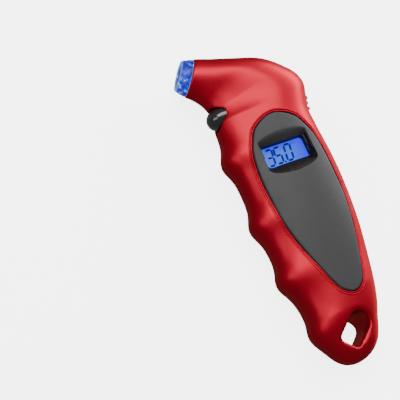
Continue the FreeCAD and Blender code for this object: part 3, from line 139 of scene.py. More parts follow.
def follow(points, x):
    """A smooth line through a few points, level beyond both ends."""
    x = min(max(x, points[0][0]), points[-1][0])
    k = next(i for i in range(len(points) - 1) if x <= points[i + 1][0])
    widths = [b[0] - a[0] for a, b in zip(points, points[1:])]
    steps = [(b[1] - a[1]) / w for a, b, w in zip(points, points[1:], widths)]

    def slope(i):
        if i in (0, len(steps)):
            return steps[min(i, len(steps) - 1)]
        return (steps[i - 1] * widths[i] + steps[i] * widths[i - 1]) / (widths[i - 1] + widths[i])

    t = (x - points[k][0]) / widths[k]
    start = points[k][1] * (2 * t**3 - 3 * t**2 + 1) + slope(k) * widths[k] * (t**3 - 2 * t**2 + t)
    return start + points[k + 1][1] * (3 * t**2 - 2 * t**3) + slope(k + 1) * widths[k] * (t**3 - t**2)


def ease(x):
    x = np.clip(x, 0.0, 1.0)
    return x * x * (3 - 2 * x)


def rounding(distance, length):
    return math.sqrt(1 - (1 - min(max(distance / length, 0.0), 1.0)) ** 2)


def crests(up):
    return sum(math.exp(-((up - c * HANDLE_LENGTH) / CREST_SPREAD) ** 2) for c in FINGER_CRESTS)


def reaches(f, inset=0.0):
    """Inner and outer reach of the section at station f, from the head's turning axis."""
    if f > 1:
        spine = follow(SPINE_LINE, 1) * SPINE_REACH - TURN[0]
        finger = -TURN[0] - FINGER_REACH
        outer = spine + (NOZZLE_REACH + RIM_RADIUS - spine) * follow(HEAD_SPINE, f - 1)
        inner = finger + (NOZZLE_REACH - RIM_RADIUS - finger) * follow(HEAD_FINGER, f - 1)
        return inner + inset, outer - inset
    up = f * HANDLE_LENGTH
    tail = rounding(up - inset, TAIL_ROUND)
    tip = -TAIL_OFFSET * (1 - float(ease(up / TAIL_ROUND)))
    spine = follow(SPINE_LINE, f) * SPINE_REACH
    finger = -follow(FINGER_LINE, f) * FINGER_REACH - crests(up) * CREST_HEIGHT
    return tip + (finger - tip) * tail - TURN[0] + inset, tip + (spine - tip) * tail - TURN[0] - inset


def depths(f, side, inset=0.0):
    """Depth of the section on its ridge and beside the fingers, and how round and how blunt it is."""
    full = CROWN_DEPTH if side > 0 else BACK_DEPTH
    tail = TAIL_DEPTH + (full - TAIL_DEPTH) * follow(TAIL_RISE, f)
    tail *= rounding(f * HANDLE_LENGTH - inset, TAIL_DEPTH)
    ridge = tail + (RIM_RADIUS - tail) * follow(CROWN_FALL, f)
    beside = SIDE_DEPTH if side > 0 else BACK_SIDE_DEPTH
    low = min(tail, beside) - (beside - SADDLE_DEPTH) * follow(SADDLE_RISE, f)
    low += (ridge - low) * float(ease((f - SADDLE_END) / SADDLE_FADE))
    turned_round = float(ease((f - ROUNDING_START) / ROUNDING_LENGTH))
    boxy = BACK_BLUNTER * (1 - turned_round) if side < 0 else 0.0
    blunts = [b + boxy + (ROUND - b - boxy) * turned_round for b in (SPINE_BLUNT, FINGER_BLUNT)]
    return ridge, low, blunts


def half_section(f, side, count, inset=0.0):
    """Plan reach and height of points from the spine edge (first) to the finger edge (last)."""
    inner, outer = reaches(f, inset)
    ridge, low, blunts = depths(f, side, inset)
    angle = np.linspace(0, math.pi, count)
    blunt = np.where(angle < math.pi / 2, *blunts)
    stretch = (np.abs(np.cos(angle)) ** blunt + np.abs(np.sin(angle)) ** blunt) ** (-1 / blunt)
    across = stretch * np.cos(angle)
    depth = low + (ridge - low) * ease(across + RIDGE_SHIFT) - inset
    height = side * depth * stretch * np.sin(angle)
    height[[0, -1]] = 0.0
    return (inner + outer) / 2 + (outer - inner) / 2 * across, PARTING + height


def surface_depth(x, y, side):
    """Distance from the parting plane to the casing's surface at a point of the handle."""
    f = (y - TAIL_END) / HANDLE_LENGTH
    inner, outer = (reach + TURN[0] for reach in reaches(f))
    ridge, low, blunts = depths(f, side)
    across = (x - (inner + outer) / 2) / ((outer - inner) / 2)
    blunt = blunts[0] if across > 0 else blunts[1]
    depth = low + (ridge - low) * float(ease(across + RIDGE_SHIFT))
    return depth * (1 - min(abs(across), 1.0) ** blunt) ** (1 / blunt)


def crown_height(x, y):
    """Height of the casing's front surface over a point of the handle."""
    return PARTING + surface_depth(x, y, 1)


def back_height(x, y):
    """Height of the casing's back surface over a point of the handle."""
    return max(PARTING - surface_depth(x, y, -1), 0.0)


def form_rings(stations, count, inset=0.0, floor=0.0):
    """Closed rings of points round the casing's form."""
    rings = []
    for f in stations:
        front_reach, front_height = half_section(f, 1, count, inset)
        back_reach, rear_height = half_section(f, -1, count, inset)
        reach = np.concatenate([front_reach, back_reach[-2:0:-1]])
        height = np.concatenate([front_height, np.maximum(rear_height[-2:0:-1], floor)])
        if f > 1:
            turn = HEAD_ANGLE * (f - 1)
            plan = TURN[:, None] + np.array([[math.cos(turn)], [math.sin(turn)]]) * reach
        else:
            plan = np.array([reach + TURN[0], np.full_like(reach, TAIL_END + f * HANDLE_LENGTH)])
        rings.append(np.stack([plan[0], plan[1], height], axis=1))
    return rings


# ---- mesh helpers ----


def mesh_piece(name, points, faces, smooth=True):
    """A mesh object from points in millimetres."""
    data = bpy.data.meshes.new(name)
    data.from_pydata([tuple(np.array(p, float) * MM) for p in points], [], faces)
    data.validate()
    piece = bpy.data.objects.new(name, data)
    bpy.context.scene.collection.objects.link(piece)
    tidy_normals(piece)
    if smooth:
        data.shade_smooth()
    return piece


def tidy_normals(piece):
    form = bmesh.new()
    form.from_mesh(piece.data)
    bmesh.ops.recalc_face_normals(form, faces=form.faces)
    form.to_mesh(piece.data)
    form.free()


def skin_rings(name, rings, loop=False):
    """Joins rings of equally many points into a skin, with flat ends or as a loop."""
    count = len(rings[0])
    points = np.concatenate(rings)
    faces = []
    for i in range(len(rings) if loop else len(rings) - 1):
        here, there = i * count, (i + 1) % len(rings) * count
        for k in range(count):
            after = (k + 1) % count
            faces.append((here + k, here + after, there + after, there + k))
    if not loop:
        faces.append(tuple(range(count)))
        faces.append(tuple(range(len(points) - count, len(points))))
    return mesh_piece(name, points, faces)


def around(sides):
    """Evenly spaced angles of one turn."""
    return np.linspace(0, math.tau, sides, endpoint=False)


def rod(name, start, end, radius, sides=64):
    """A cylinder between two points."""
    start, end = Vector(start), Vector(end)
    along = (end - start).normalized()
    side = along.orthogonal().normalized()
    other = along.cross(side)
    rings = []
    for centre in (start, end):
        rings.append([centre + (side * math.cos(a) + other * math.sin(a)) * radius for a in around(sides)])
    return skin_rings(name, rings)


def prism(name, outline, low, high):
    """An upright prism over a closed plan outline."""
    return skin_rings(name, [[(x, y, z) for x, y in outline] for z in (low, high)])


def apply_all(piece):
    """Replaces the mesh by the one its modifiers give."""
    graph = bpy.context.evaluated_depsgraph_get()
    done = bpy.data.meshes.new_from_object(piece.evaluated_get(graph))
    piece.modifiers.clear()
    old = piece.data
    piece.data = done
    bpy.data.meshes.remove(old)


def combine(piece, tools, operation="DIFFERENCE"):
    """Cuts or joins other meshes, which are used up."""
    for tool in tools:
        step = piece.modifiers.new(tool.name, "BOOLEAN")
        step.object = tool
        step.operation = operation
        step.solver = "EXACT"
    apply_all(piece)
    for tool in tools:
        bpy.data.objects.remove(tool)
    return piece


def remesh(piece, voxel):
    """An even skin of small faces with its sharp edges softened."""
    step = piece.modifiers.new("skin", "REMESH")
    step.mode = "VOXEL"
    step.voxel_size = voxel * MM
    step.use_smooth_shade = True
    step = piece.modifiers.new("soften", "SMOOTH")
    step.factor = 0.5
    step.iterations = SOFTEN_PASSES
    apply_all(piece)
    piece.data.shade_smooth()


def copy_of(piece, name):
    twin = bpy.data.objects.new(name, piece.data.copy())
    bpy.context.scene.collection.objects.link(twin)
    return twin


def rectangle(low_x, low_y, high_x, high_y):
    return [(low_x, low_y), (high_x, low_y), (high_x, high_y), (low_x, high_y)]


def block(name, low, high):
    return prism(name, rectangle(low[0], low[1], high[0], high[1]), low[2], high[2])


def coat(piece, *materials):
    """Replaces the piece's materials."""
    piece.data.materials.clear()
    for material in materials:
        piece.data.materials.append(material)


def soften_edges(piece, angle):
    """Keeps the shading crisp across edges sharper than an angle in degrees."""
    form = bmesh.new()
    form.from_mesh(piece.data)
    for edge in form.edges:
        edge.smooth = len(edge.link_faces) != 2 or edge.calc_face_angle(0.0) < math.radians(angle)
    form.to_mesh(piece.data)
    form.free()


def settle(piece, body, slot, *nodes):
    """Puts a finished piece on its body and hides the CAD nodes that it stands for; the slot argument is not
    used.
    """
    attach(piece, body)
    if nodes:
        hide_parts(*nodes)


# ---- materials ----


class Surface:
    """A Principled material whose inputs are set or driven by procedural nodes."""

    def __init__(self, name, **values):
        self.material = bpy.data.materials.new(name)
        self.material.use_nodes = True
        self.nodes = self.material.node_tree.nodes
        self.links = self.material.node_tree.links
        self.shader = next(n for n in self.nodes if n.type == "BSDF_PRINCIPLED")
        self.place = self.node("ShaderNodeTexCoord").outputs["Object"]
        for key, value in values.items():
            self.shader.inputs[key.replace("_", " ")].default_value = value

    def node(self, kind, **settings):
        made = self.nodes.new(kind)
        for key, value in settings.items():
            if key in made.inputs:
                made.inputs[key].default_value = value
            else:
                setattr(made, key, value)
        return made

    def noise(self, scale, detail=2.0, roughness=0.5):
        made = self.node("ShaderNodeTexNoise", Scale=scale, Detail=detail, Roughness=roughness)
        self.links.new(self.place, made.inputs["Vector"])
        return made.outputs["Fac"]

    def ramp(self, source, stops):
        """Colours or grey levels along a source from 0 to 1."""
        made = self.node("ShaderNodeValToRGB")
        ramp = made.color_ramp
        while len(ramp.elements) < len(stops):
            ramp.elements.new(0.5)
        for element, (at, value) in zip(ramp.elements, stops):
            element.position = at
            element.color = (*value, 1) if isinstance(value, tuple) else (value, value, value, 1)
        self.links.new(source, made.inputs["Fac"])
        return made.outputs["Color"]

    def feed(self, socket, value):
        """Links a socket to another, or sets it to a number or a colour."""
        if isinstance(value, bpy.types.NodeSocket):
            self.links.new(value, socket)
        else:
            socket.default_value = (*value, 1) if isinstance(value, tuple) else value

    def mix(self, share, first, second):
        """A blend of two colours."""
        made = self.node("ShaderNodeMix", data_type="RGBA")
        for k, value in ((0, share), (6, first), (7, second)):
            self.feed(made.inputs[k], value)
        return made.outputs[2]

    def math(self, operation, first, second):
        made = self.node("ShaderNodeMath", operation=operation)
        self.feed(made.inputs[0], first)
        self.feed(made.inputs[1], second)
        return made.outputs[0]

    def drive(self, name, source):
        self.links.new(source, self.shader.inputs[name])

    def glow(self, colour, strength):
        self.drive("Emission Color", colour)
        self.shader.inputs["Emission Strength"].default_value = strength

    def bump(self, source, strength, distance):
        made = self.node("ShaderNodeBump", Strength=strength, Distance=distance)
        self.links.new(source, made.inputs["Height"])
        self.links.new(made.outputs["Normal"], self.shader.inputs["Normal"])


def speckled(name, dark, light, roughness, grain=900.0, bump=0.08, **values):
    """Moulded or coated plastic: two close tones in a fine grain, uneven gloss and a fine texture."""
    made = Surface(name, Roughness=roughness, **values)
    fine = made.noise(grain, 3.0, 0.6)
    broad = made.noise(grain / 30)
    tone = made.math("ADD", made.math("MULTIPLY", fine, 0.6), made.math("MULTIPLY", broad, 0.4))
    made.drive("Base Color", made.ramp(tone, ((0.35, dark), (0.65, light))))
    low, high = roughness - 0.04, roughness + 0.05
    made.drive("Roughness", made.ramp(broad, ((0.3, low), (0.7, high))))
    made.bump(fine, bump, 0.00005)
    return made.material


def brushed(name, dark, light, roughness):
    """Drawn or turned metal with fine lines."""
    made = Surface(name, Metallic=1.0, Roughness=roughness)
    lines = made.node("ShaderNodeTexWave", Scale=1500.0, Distortion=3.0, Detail=2.0)
    made.links.new(made.place, lines.inputs["Vector"])
    stain = made.noise(180.0, 3.0)
    made.drive("Base Color", made.ramp(stain, ((0.35, dark), (0.65, light))))
    made.drive("Roughness", made.ramp(stain, ((0.3, roughness - 0.06), (0.7, roughness + 0.08))))
    made.bump(lines.outputs["Fac"], 0.05, 0.00003)
    return made.material


def red_coat():
    """Satin metallic red coat with fine flakes under a thin clear layer."""
    made = Surface("red_coat", Metallic=0.85, Specular_Tint=(0.6, 0.3, 0.3, 1), Coat_Weight=0.08,
                   Coat_Roughness=0.3)
    flake = made.noise(4000.0, 2.0, 0.7)
    broad = made.noise(45.0)
    tone = made.math("ADD", made.math("MULTIPLY", flake, 0.5), made.math("MULTIPLY", broad, 0.5))
    made.drive("Base Color", made.ramp(tone, ((0.35, (0.39, 0.004, 0.018)), (0.65, (0.45, 0.007, 0.024)))))
    made.drive("Roughness", made.ramp(broad, ((0.3, 0.40), (0.7, 0.46))))
    made.bump(flake, 0.05, 0.00003)
    return made.material


def panel_plastic():
    """Dark grey matt plastic with a fine spark texture."""
    made = Surface("panel_plastic", Specular_IOR_Level=0.45)
    grain = made.noise(2600.0, 3.0, 0.7)
    broad = made.noise(60.0)
    made.drive("Base Color", made.ramp(grain, ((0.35, (0.017, 0.017, 0.018)), (0.65, (0.027, 0.027, 0.030)))))
    made.drive("Roughness", made.ramp(broad, ((0.3, 0.46), (0.7, 0.54))))
    made.bump(grain, 0.25, 0.00006)
    return made.material


def well_painted_shade():
    """Painted shade: near-black inside the display's well and in the lower part of the scoop, where the
    recess lies in shade.
    """
    made = Surface("well_painted_shade", Specular_IOR_Level=0.12)
    grain = made.noise(500.0)
    made.drive("Base Color", made.ramp(grain, ((0.3, (0.006, 0.005, 0.005)), (0.7, (0.012, 0.009, 0.008)))))
    made.drive("Roughness", made.ramp(grain, ((0.3, 0.42), (0.7, 0.5))))
    return made.material


def display_light():
    """The lit display: pale blue, deeper towards its spine side and upper edge."""
    low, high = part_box("lcd_glass")
    made = Surface("display_light", Roughness=0.4, Specular_IOR_Level=0.1)
    apart = made.node("ShaderNodeSeparateXYZ")
    made.links.new(made.place, apart.inputs[0])
    half = VIEW_WIDTH / 2 * MM
    centre = (low.x + high.x) / 2
    right = made.math("DIVIDE", made.math("SUBTRACT", apart.outputs["X"], centre + half * 0.35), half * 0.65)
    half = VIEW_HEIGHT / 2 * MM
    centre = (low.y + high.y) / 2
    top = made.math("DIVIDE", made.math("SUBTRACT", apart.outputs["Y"], centre + half * 0.3), half * 0.7)
    edge = made.math("MAXIMUM", right, made.math("MULTIPLY", top, 0.8))
    uneven = made.math("ADD", edge, made.math("MULTIPLY", made.noise(160.0), 0.12))
    colour = made.ramp(uneven, ((0.0, (0.06, 0.19, 1.05)), (0.45, (0.045, 0.11, 1.1)),
                                (1.0, (0.022, 0.028, 1.2))))
    made.drive("Base Color", made.mix(0.85, colour, (0.0, 0.0, 0.02)))
    made.glow(colour, 1.15)
    return made.material


def glowing(name, grain, dark, light, strength, **values):
    """A surface that shines in two close tones."""
    made = Surface(name, **values)
    colour = made.ramp(made.noise(grain), ((0.3, dark), (0.7, light)))
    made.drive("Base Color", colour)
    made.glow(colour, strength)
    return made.material


def ink(name, dark, light):
    """A segment of the display, lit through from behind."""
    return glowing(name, 900.0, dark, light, 0.8, Roughness=0.5, Specular_IOR_Level=0.05)


def clear_plastic():
    """Thin clear window: almost all see-through, with a faint gloss."""
    made = Surface("clear_plastic", Alpha=0.05, IOR=1.45, Specular_IOR_Level=0.1)
    haze = made.noise(250.0)
    made.drive("Roughness", made.ramp(haze, ((0.3, 0.04), (0.7, 0.08))))
    made.drive("Base Color", made.ramp(haze, ((0.3, (0.01, 0.01, 0.02)), (0.7, (0.02, 0.02, 0.03)))))
    return made.material


def lens_light():
    """Clear ring that glows blue: light lines at its mouth and foot, navy behind them, streaks between."""
    made = Surface("lens_light", Roughness=0.15, Transmission_Weight=0.1, IOR=1.4, Specular_IOR_Level=0.3)
    offset = made.node("ShaderNodeVectorMath", operation="SUBTRACT")
    made.links.new(made.place, offset.inputs[0])
    offset.inputs[1].default_value = RIM_CENTRE * MM
    ahead = made.node("ShaderNodeVectorMath", operation="DOT_PRODUCT")
    made.links.new(offset.outputs[0], ahead.inputs[0])
    ahead.inputs[1].default_value = NOZZLE_AXIS
    share = made.math("DIVIDE", ahead.outputs["Value"], LENS_FRONT * MM)
    streaks = made.noise(520.0, 3.0, 0.6)
    cells = made.node("ShaderNodeTexVoronoi", Scale=520.0)
    made.links.new(made.place, cells.inputs["Vector"])
    spots = made.math("SUBTRACT", 1.0, cells.outputs["Distance"])
    tone = made.math("ADD", made.math("MULTIPLY", streaks, 0.7), made.math("MULTIPLY", spots, 0.3))
    body = made.ramp(tone, ((0.40, (0.002, 0.002, 0.07)), (0.50, (0.01, 0.02, 0.60)),
                            (0.585, (0.04, 0.08, 1.0)), (0.66, (0.50, 0.85, 1.0))))
    bands = made.ramp(share, ((0.02, (0.30, 0.60, 1.0)), (0.10, (0.004, 0.006, 0.16)),
                              (0.34, (0.02, 0.04, 0.75)), (0.84, (0.03, 0.06, 0.9)),
                              (0.93, (0.30, 0.62, 1.0))))
    colour = made.mix(0.42, body, bands)
    made.drive("Base Color", made.mix(0.8, colour, (0.0, 0.0, 0.03)))
    made.glow(colour, 0.95)
    return made.material


def board_green():
    made = Surface("board_green", Roughness=0.35)
    tracks = made.node("ShaderNodeTexBrick", Scale=220.0)
    made.links.new(made.place, tracks.inputs["Vector"])
    colour = made.ramp(tracks.outputs["Fac"], ((0.0, (0.01, 0.11, 0.04)), (1.0, (0.03, 0.22, 0.08))))
    made.drive("Base Color", colour)
    made.bump(tracks.outputs["Fac"], 0.2, 0.00003)
    return made.material


# ---- outlines ----

PANEL_LOW, PANEL_HIGH = box_mm("display_panel")
PANEL_MIDDLE = (PANEL_LOW.x + PANEL_HIGH.x) / 2
PANEL_CROWN = 60.0
ARC_POINTS = 12
HOLE_HEIGHT = 15.4

# The panel's edge from its top to its tip: shares of its length and of its half width.
PANEL_LINE = ((0.045, 0.575), (0.117, 0.82), (0.169, 0.925), (0.274, 0.995), (0.398, 1.0), (0.536, 0.965),
              (0.65, 0.86), (0.75, 0.725), (0.847, 0.56), (0.915, 0.437), (0.971, 0.285))


def smooth_loop(points, count):
    """A closed curve through the points, as evenly many points on each span."""
    points = [Vector(p) for p in points]
    total = len(points)
    line = []
    for k in range(total):
        before, here, there, after = (points[(k + d) % total] for d in (-1, 0, 1, 2))
        reach = (there - here).length
        out = (there - before).normalized() * reach / 3
        back = (after - here).normalized() * reach / 3
        line += interpolate_bezier(here, here + out, there - back, there, count + 1)[:-1]
    return np.array([(p.x, p.y) for p in line])


def grown(outline, by):
    """A counter-clockwise outline moved outwards, by one distance or one for each point."""
    along = np.roll(outline, -1, axis=0) - np.roll(outline, 1, axis=0)
    along /= np.linalg.norm(along, axis=1)[:, None]
    return outline + np.stack([along[:, 1], -along[:, 0]], axis=1) * np.reshape(by, (-1, 1))


def panel_outline(count=10):
    length = PANEL_HIGH.y - PANEL_LOW.y
    half = (PANEL_HIGH.x - PANEL_LOW.x) / 2
    left = [(PANEL_MIDDLE - b * half, PANEL_HIGH.y - a * length, 0) for a, b in PANEL_LINE]
    right = [(PANEL_MIDDLE + b * half, PANEL_HIGH.y - a * length, 0) for a, b in reversed(PANEL_LINE)]
    top, tip = (PANEL_MIDDLE, PANEL_HIGH.y, 0), (PANEL_MIDDLE, PANEL_LOW.y, 0)
    return smooth_loop([top, *left, tip, *right], count)


def arc_loop(corners):
    """Counter-clockwise outline of round corners (x, y, radius) joined by straight sides."""
    total = len(corners)
    turns = []
    for k in range(total):
        (x, y, near), (u, v, far) = corners[k], corners[(k + 1) % total]
        reach = math.hypot(u - x, v - y)
        turns.append(math.atan2(x - u, v - y) + math.asin((near - far) / reach))
    line = []
    for k, (x, y, radius) in enumerate(corners):
        sweep = (turns[k] - turns[k - 1]) % math.tau
        for t in np.linspace(0, 1, ARC_POINTS):
            angle = turns[k - 1] + sweep * t
            line.append((x + radius * math.cos(angle), y + radius * math.sin(angle)))
    return np.array(line)


def hole_outline():
    """The lanyard hole: a triangle with three different round corners."""
    high = TAIL_END + HOLE_HEIGHT
    return arc_loop(((2.6, high, 4.7), (-5.6, high - 3.7, 1.9), (-2.0, high - 8.0, 1.4)))


def round_rectangle(x, y, radius):
    """Outline with its own radius at each corner: lower left, lower right, upper right, upper left."""
    (a, b), (c, d) = x, y
    places = ((a, c, 1, 1), (b, c, -1, 1), (b, d, -1, -1), (a, d, 1, -1))
    corners = [(u + s * r, v + t * r, r) for (u, v, s, t), r in zip(places, radius)]
    return arc_loop(corners)


# ---- casing ----

VOXEL = 0.45
SOFTEN_PASSES = 4
CASING_CREASE = 50.0
HOLE_EDGE = 1.7
SLEEVE_BORE, SLEEVE_DEPTH = 7.45, 8.5
PANEL_SEAT, PANEL_MARGIN = 1.4, 0.9
DOOR_GAP, DOOR_SEAT = 0.15, 1.25
SCREW_WELL, SCREW_SEAT = 2.5, 1.4
HALF_SEAM = 0.06
RIDGES, RIDGE_PITCH, RIDGE_DROP = 3, 2.6, 1.0
RIDGE_RADIUS, RIDGE_HALF = 0.9, 4.6
SCREW_PLACES = ((-11.5, 31.0), (21.0, 31.0), (15.5, 54.0), (-10.0, TAIL_END + 24.0), (12.2, TAIL_END + 24.0))

# Past the casing on every side, for tools that cut right through or keep one side of a plane.
LEFT, RIGHT, BELOW, ABOVE = -80, 80, -100, 100
UNDER, OVER = -20, 60

TRIGGER_RADII = (5.6, 6.3)
TRIGGER_GAP = 0.15
TRIGGER_PLATE, TRIGGER_ROOM = 7.4, 2.1


def hole_cutter():
    """The lanyard hole with a broad round edge at both faces."""
    outline = hole_outline()
    clear_of_face = (HOLE_EDGE, -6.0)
    steps = [clear_of_face] + [(HOLE_EDGE * (1 - math.cos(a)), HOLE_EDGE * (1 - math.sin(a)))
                               for a in np.linspace(math.pi / 2, 0, 7)]
    rings = [[(x, y, crown_height(x, y) - drop) for x, y in grown(outline, out)] for out, drop in steps]
    for out, rise in reversed(steps):
        rings.append([(x, y, back_height(x, y) + rise) for x, y in grown(outline, out)])
    return skin_rings("hole_cutter", rings)


def trigger_ring(x, half_width, half_height, sides):
    """An upright ellipse round the trigger's axis."""
    centre = middle("trigger_button").y
    return np.array([(x, centre + half_width * math.cos(a), PARTING + half_height * math.sin(a))
                     for a in around(sides)])


def trigger_well():
    """Elliptical slot that the trigger moves in."""
    half_width, half_height = (radius + TRIGGER_GAP for radius in TRIGGER_RADII)
    floor = box_mm("trigger_button")[0].x + TRIGGER_PLATE + TRIGGER_ROOM
    return skin_rings("trigger_well", [trigger_ring(x, half_width, half_height, 64) for x in (LEFT, floor)])


def thumb_ridges():
    """Ribs across the spine side, further out towards the head."""
    ridges = []
    for k in range(RIDGES):
        x = SPINE_REACH + 0.3 * k * k - 0.6
        y = TURN[1] - RIDGE_DROP - RIDGE_PITCH * (RIDGES - 1 - k)
        ridges.append(rod("ridge", (x, y, PARTING - RIDGE_HALF), (x, y, PARTING + RIDGE_HALF), RIDGE_RADIUS))
    return ridges


def casing_openings():
    """What is cut from the closed form: panel seat, lanyard hole, nozzle bore, trigger, door and screws."""
    door_low, door_high = box_mm("battery_door")
    panel_seat = box_mm("display_panel")[0].z - PANEL_SEAT
    openings = [
        prism("recess", grown(panel_outline(), PANEL_MARGIN), panel_seat, OVER),
        hole_cutter(),
        rod("bore", RIM_CENTRE - NOZZLE_AXIS * SLEEVE_DEPTH, RIM_CENTRE + NOZZLE_AXIS * 3, SLEEVE_BORE),
        trigger_well(),
        block("door_recess", (door_low.x - DOOR_GAP, door_low.y - DOOR_GAP, -2),
              (door_high.x + DOOR_GAP, door_high.y + DOOR_GAP, DOOR_SEAT)),
    ]
    seat = box_mm("case_screws")[0].z + SCREW_SEAT
    return openings + [rod("screw_well", (x, y, -2), (x, y, seat), SCREW_WELL) for x, y in SCREW_PLACES]


def make_casing():
    """The whole casing as one form, opened, hollowed and then split at the parting plane."""
    tail = [1e-4, 6e-4, 0.0015, 0.003, 0.005, 0.008, 0.012, 0.017, 0.023, 0.03, 0.04]
    stations = tail + list(np.linspace(0.05, 1, 110)) + list(np.linspace(1, 2, 70))[1:]
    casing = skin_rings("casing", form_rings(stations, 65))
    combine(casing, thumb_ridges(), "UNION")
    combine(casing, casing_openings())
    remesh(casing, VOXEL)
    inner_stations = list(np.linspace(0.03, 1, 40)) + list(np.linspace(1, 1.95, 30))[1:]
    cavity = skin_rings("cavity", form_rings(inner_stations, 25, WALL, WALL))
    combine(cavity, [prism("hole_wall", grown(hole_outline(), WALL), UNDER, OVER)])
    combine(casing, [cavity])
    rear = copy_of(casing, "casing_rear")
    casing.name = "casing_front"
    for half, node, low, high in ((casing, "front_shell", PARTING + HALF_SEAM, OVER),
                                  (rear, "rear_shell", UNDER, PARTING - HALF_SEAM)):
        combine(half, [block("keep", (LEFT, BELOW, low), (RIGHT, ABOVE, high))], "INTERSECT")
        coat(half, RED)
        half.data.shade_smooth()
        soften_edges(half, CASING_CREASE)
        settle(half, "housing", "red_shell", node)


# Trim round the panel: distance out from the panel's edge, height over the casing.
TRIM_PROFILE = ((0.24, -3.5), (0.24, -0.22), (0.32, 0.02), (0.48, 0.13), (0.7, 0.13), (0.86, 0.0),
                (0.94, -0.22), (1.04, -0.22), (1.14, 0.04), (1.3, 0.22), (1.5, 0.26), (1.72, 0.16),
                (1.85, -0.35), (1.9, -3.5))


def make_trim():
    """Raised double lip of the casing round the panel."""
    outline = panel_outline(16)
    lines = [[(x, y, crown_height(x, y) + rise) for x, y in grown(outline, out)]
             for out, rise in TRIM_PROFILE]
    trim = skin_rings("casing_lip", np.array(lines).transpose(1, 0, 2), loop=True)
    coat(trim, RED)
    settle(trim, "housing", "red_shell")


# ---- panel ----

VIEW_WIDTH, VIEW_HEIGHT = 21.4, 10.2
LCD = middle("lcd_glass")
# The scoop: half height in its middle and at its sides, half width, and how much lower its sill bows.
SCOOP_RISE, SCOOP_SIDE, SCOOP_HALF, SCOOP_DROP = 9.9, 6.4, 12.3, 0.9
SCOOP_DEPTHS = (2.6, 3.6)
SCOOP_LEDGE, SCOOP_END = 0.2, 1.1
SILL_MARGIN = 0.3
PANEL_EDGE = 0.7
VIEW_CORNERS = (2.0, 1.6, 1.6, 0.6)
GRID, GRID_MARGIN = 0.25, 1.0


def panel_height(x, y, edge):
    """Height of the panel's face: its crown, its soft edge and the eyelid and lip of its scoop."""
    top = PANEL_HIGH.z - PANEL_CROWN + np.sqrt(PANEL_CROWN**2 - (x - PANEL_MIDDLE) ** 2)
    inside = np.clip(edge, 0, PANEL_EDGE)
    top = top - (PANEL_EDGE - np.sqrt(np.maximum(PANEL_EDGE**2 - (PANEL_EDGE - inside) ** 2, 0)))
    u = (x - LCD.x) / SCOOP_HALF
    v = y - LCD.y
    bow = np.sqrt(np.maximum(1 - u**2, 0))
    arch = SCOOP_SIDE + (SCOOP_RISE - SCOOP_SIDE) * bow
    sill = arch + SCOOP_DROP * bow
    upper = np.clip((arch - v) / (arch - VIEW_HEIGHT / 2 + SCOOP_LEDGE), 0, 1)
    lower = np.clip((sill + v) / (sill - VIEW_HEIGHT / 2 + SCOOP_LEDGE), 0, 1)
    sides = np.clip((SCOOP_HALF - np.abs(x - LCD.x)) / SCOOP_END, 0, 1)
    share = np.minimum(np.minimum(upper, lower), sides)
    deep = np.where(v > 0, *SCOOP_DEPTHS)
    return top - deep * ease(share / 2) * 2


def in_shaded_sill(x, y):
    """Whether a plan point lies in the lower part of the scoop, which gets the near-black painted shade."""
    u = (x - LCD.x) / SCOOP_HALF
    if abs(u) >= 1:
        return False
    bow = math.sqrt(1 - u * u)
    sill = SCOOP_SIDE + (SCOOP_RISE - SCOOP_SIDE + SCOOP_DROP) * bow
    return -sill + SILL_MARGIN < y - LCD.y < -VIEW_HEIGHT / 4


def distance_inside(points, outline):
    """Distance of each plan point from a closed outline, positive inside it."""
    nearest = np.full(len(points), np.inf)
    inside = np.zeros(len(points), bool)
    for (ax, ay), (bx, by) in zip(outline, np.roll(outline, -1, axis=0)):
        d = np.array([bx - ax, by - ay])
        t = np.clip(((points[:, 0] - ax) * d[0] + (points[:, 1] - ay) * d[1]) / (d @ d), 0, 1)
        gap = np.hypot(points[:, 0] - ax - t * d[0], points[:, 1] - ay - t * d[1])
        nearest = np.minimum(nearest, gap)
        crossing = (ay > points[:, 1]) != (by > points[:, 1])
        if ay != by:
            inside ^= crossing & (points[:, 0] < (bx - ax) * (points[:, 1] - ay) / (by - ay) + ax)
    return np.where(inside, nearest, -nearest)


def panel_block(outline):
    """A closed block whose top is the panel's face, on a fine grid a little larger than the panel."""
    xs = np.arange(PANEL_LOW.x - GRID_MARGIN, PANEL_HIGH.x + GRID_MARGIN, GRID)
    ys = np.arange(PANEL_LOW.y - GRID_MARGIN, PANEL_HIGH.y + GRID_MARGIN, GRID)
    x, y = (a.ravel() for a in np.meshgrid(xs, ys))
    edge = distance_inside(np.stack([x, y], axis=1), outline)
    top = panel_height(x, y, edge)
    wide, tall = len(xs), len(ys)
    points = list(zip(x, y, top))
    faces = [(r * wide + c, r * wide + c + 1, (r + 1) * wide + c + 1, (r + 1) * wide + c)
             for r in range(tall - 1) for c in range(wide - 1)]
    rim = list(range(wide)) + [r * wide + wide - 1 for r in range(1, tall)]
    rim += [(tall - 1) * wide + c for c in range(wide - 2, -1, -1)]
    rim += [r * wide for r in range(tall - 2, 0, -1)]
    start = len(points)
    points += [(x[k], y[k], PANEL_LOW.z) for k in rim]
    total = len(rim)
    faces += [(rim[k], rim[(k + 1) % total], start + (k + 1) % total, start + k) for k in range(total)]
    faces.append(tuple(range(start, start + total)))
    return mesh_piece("panel", points, faces)


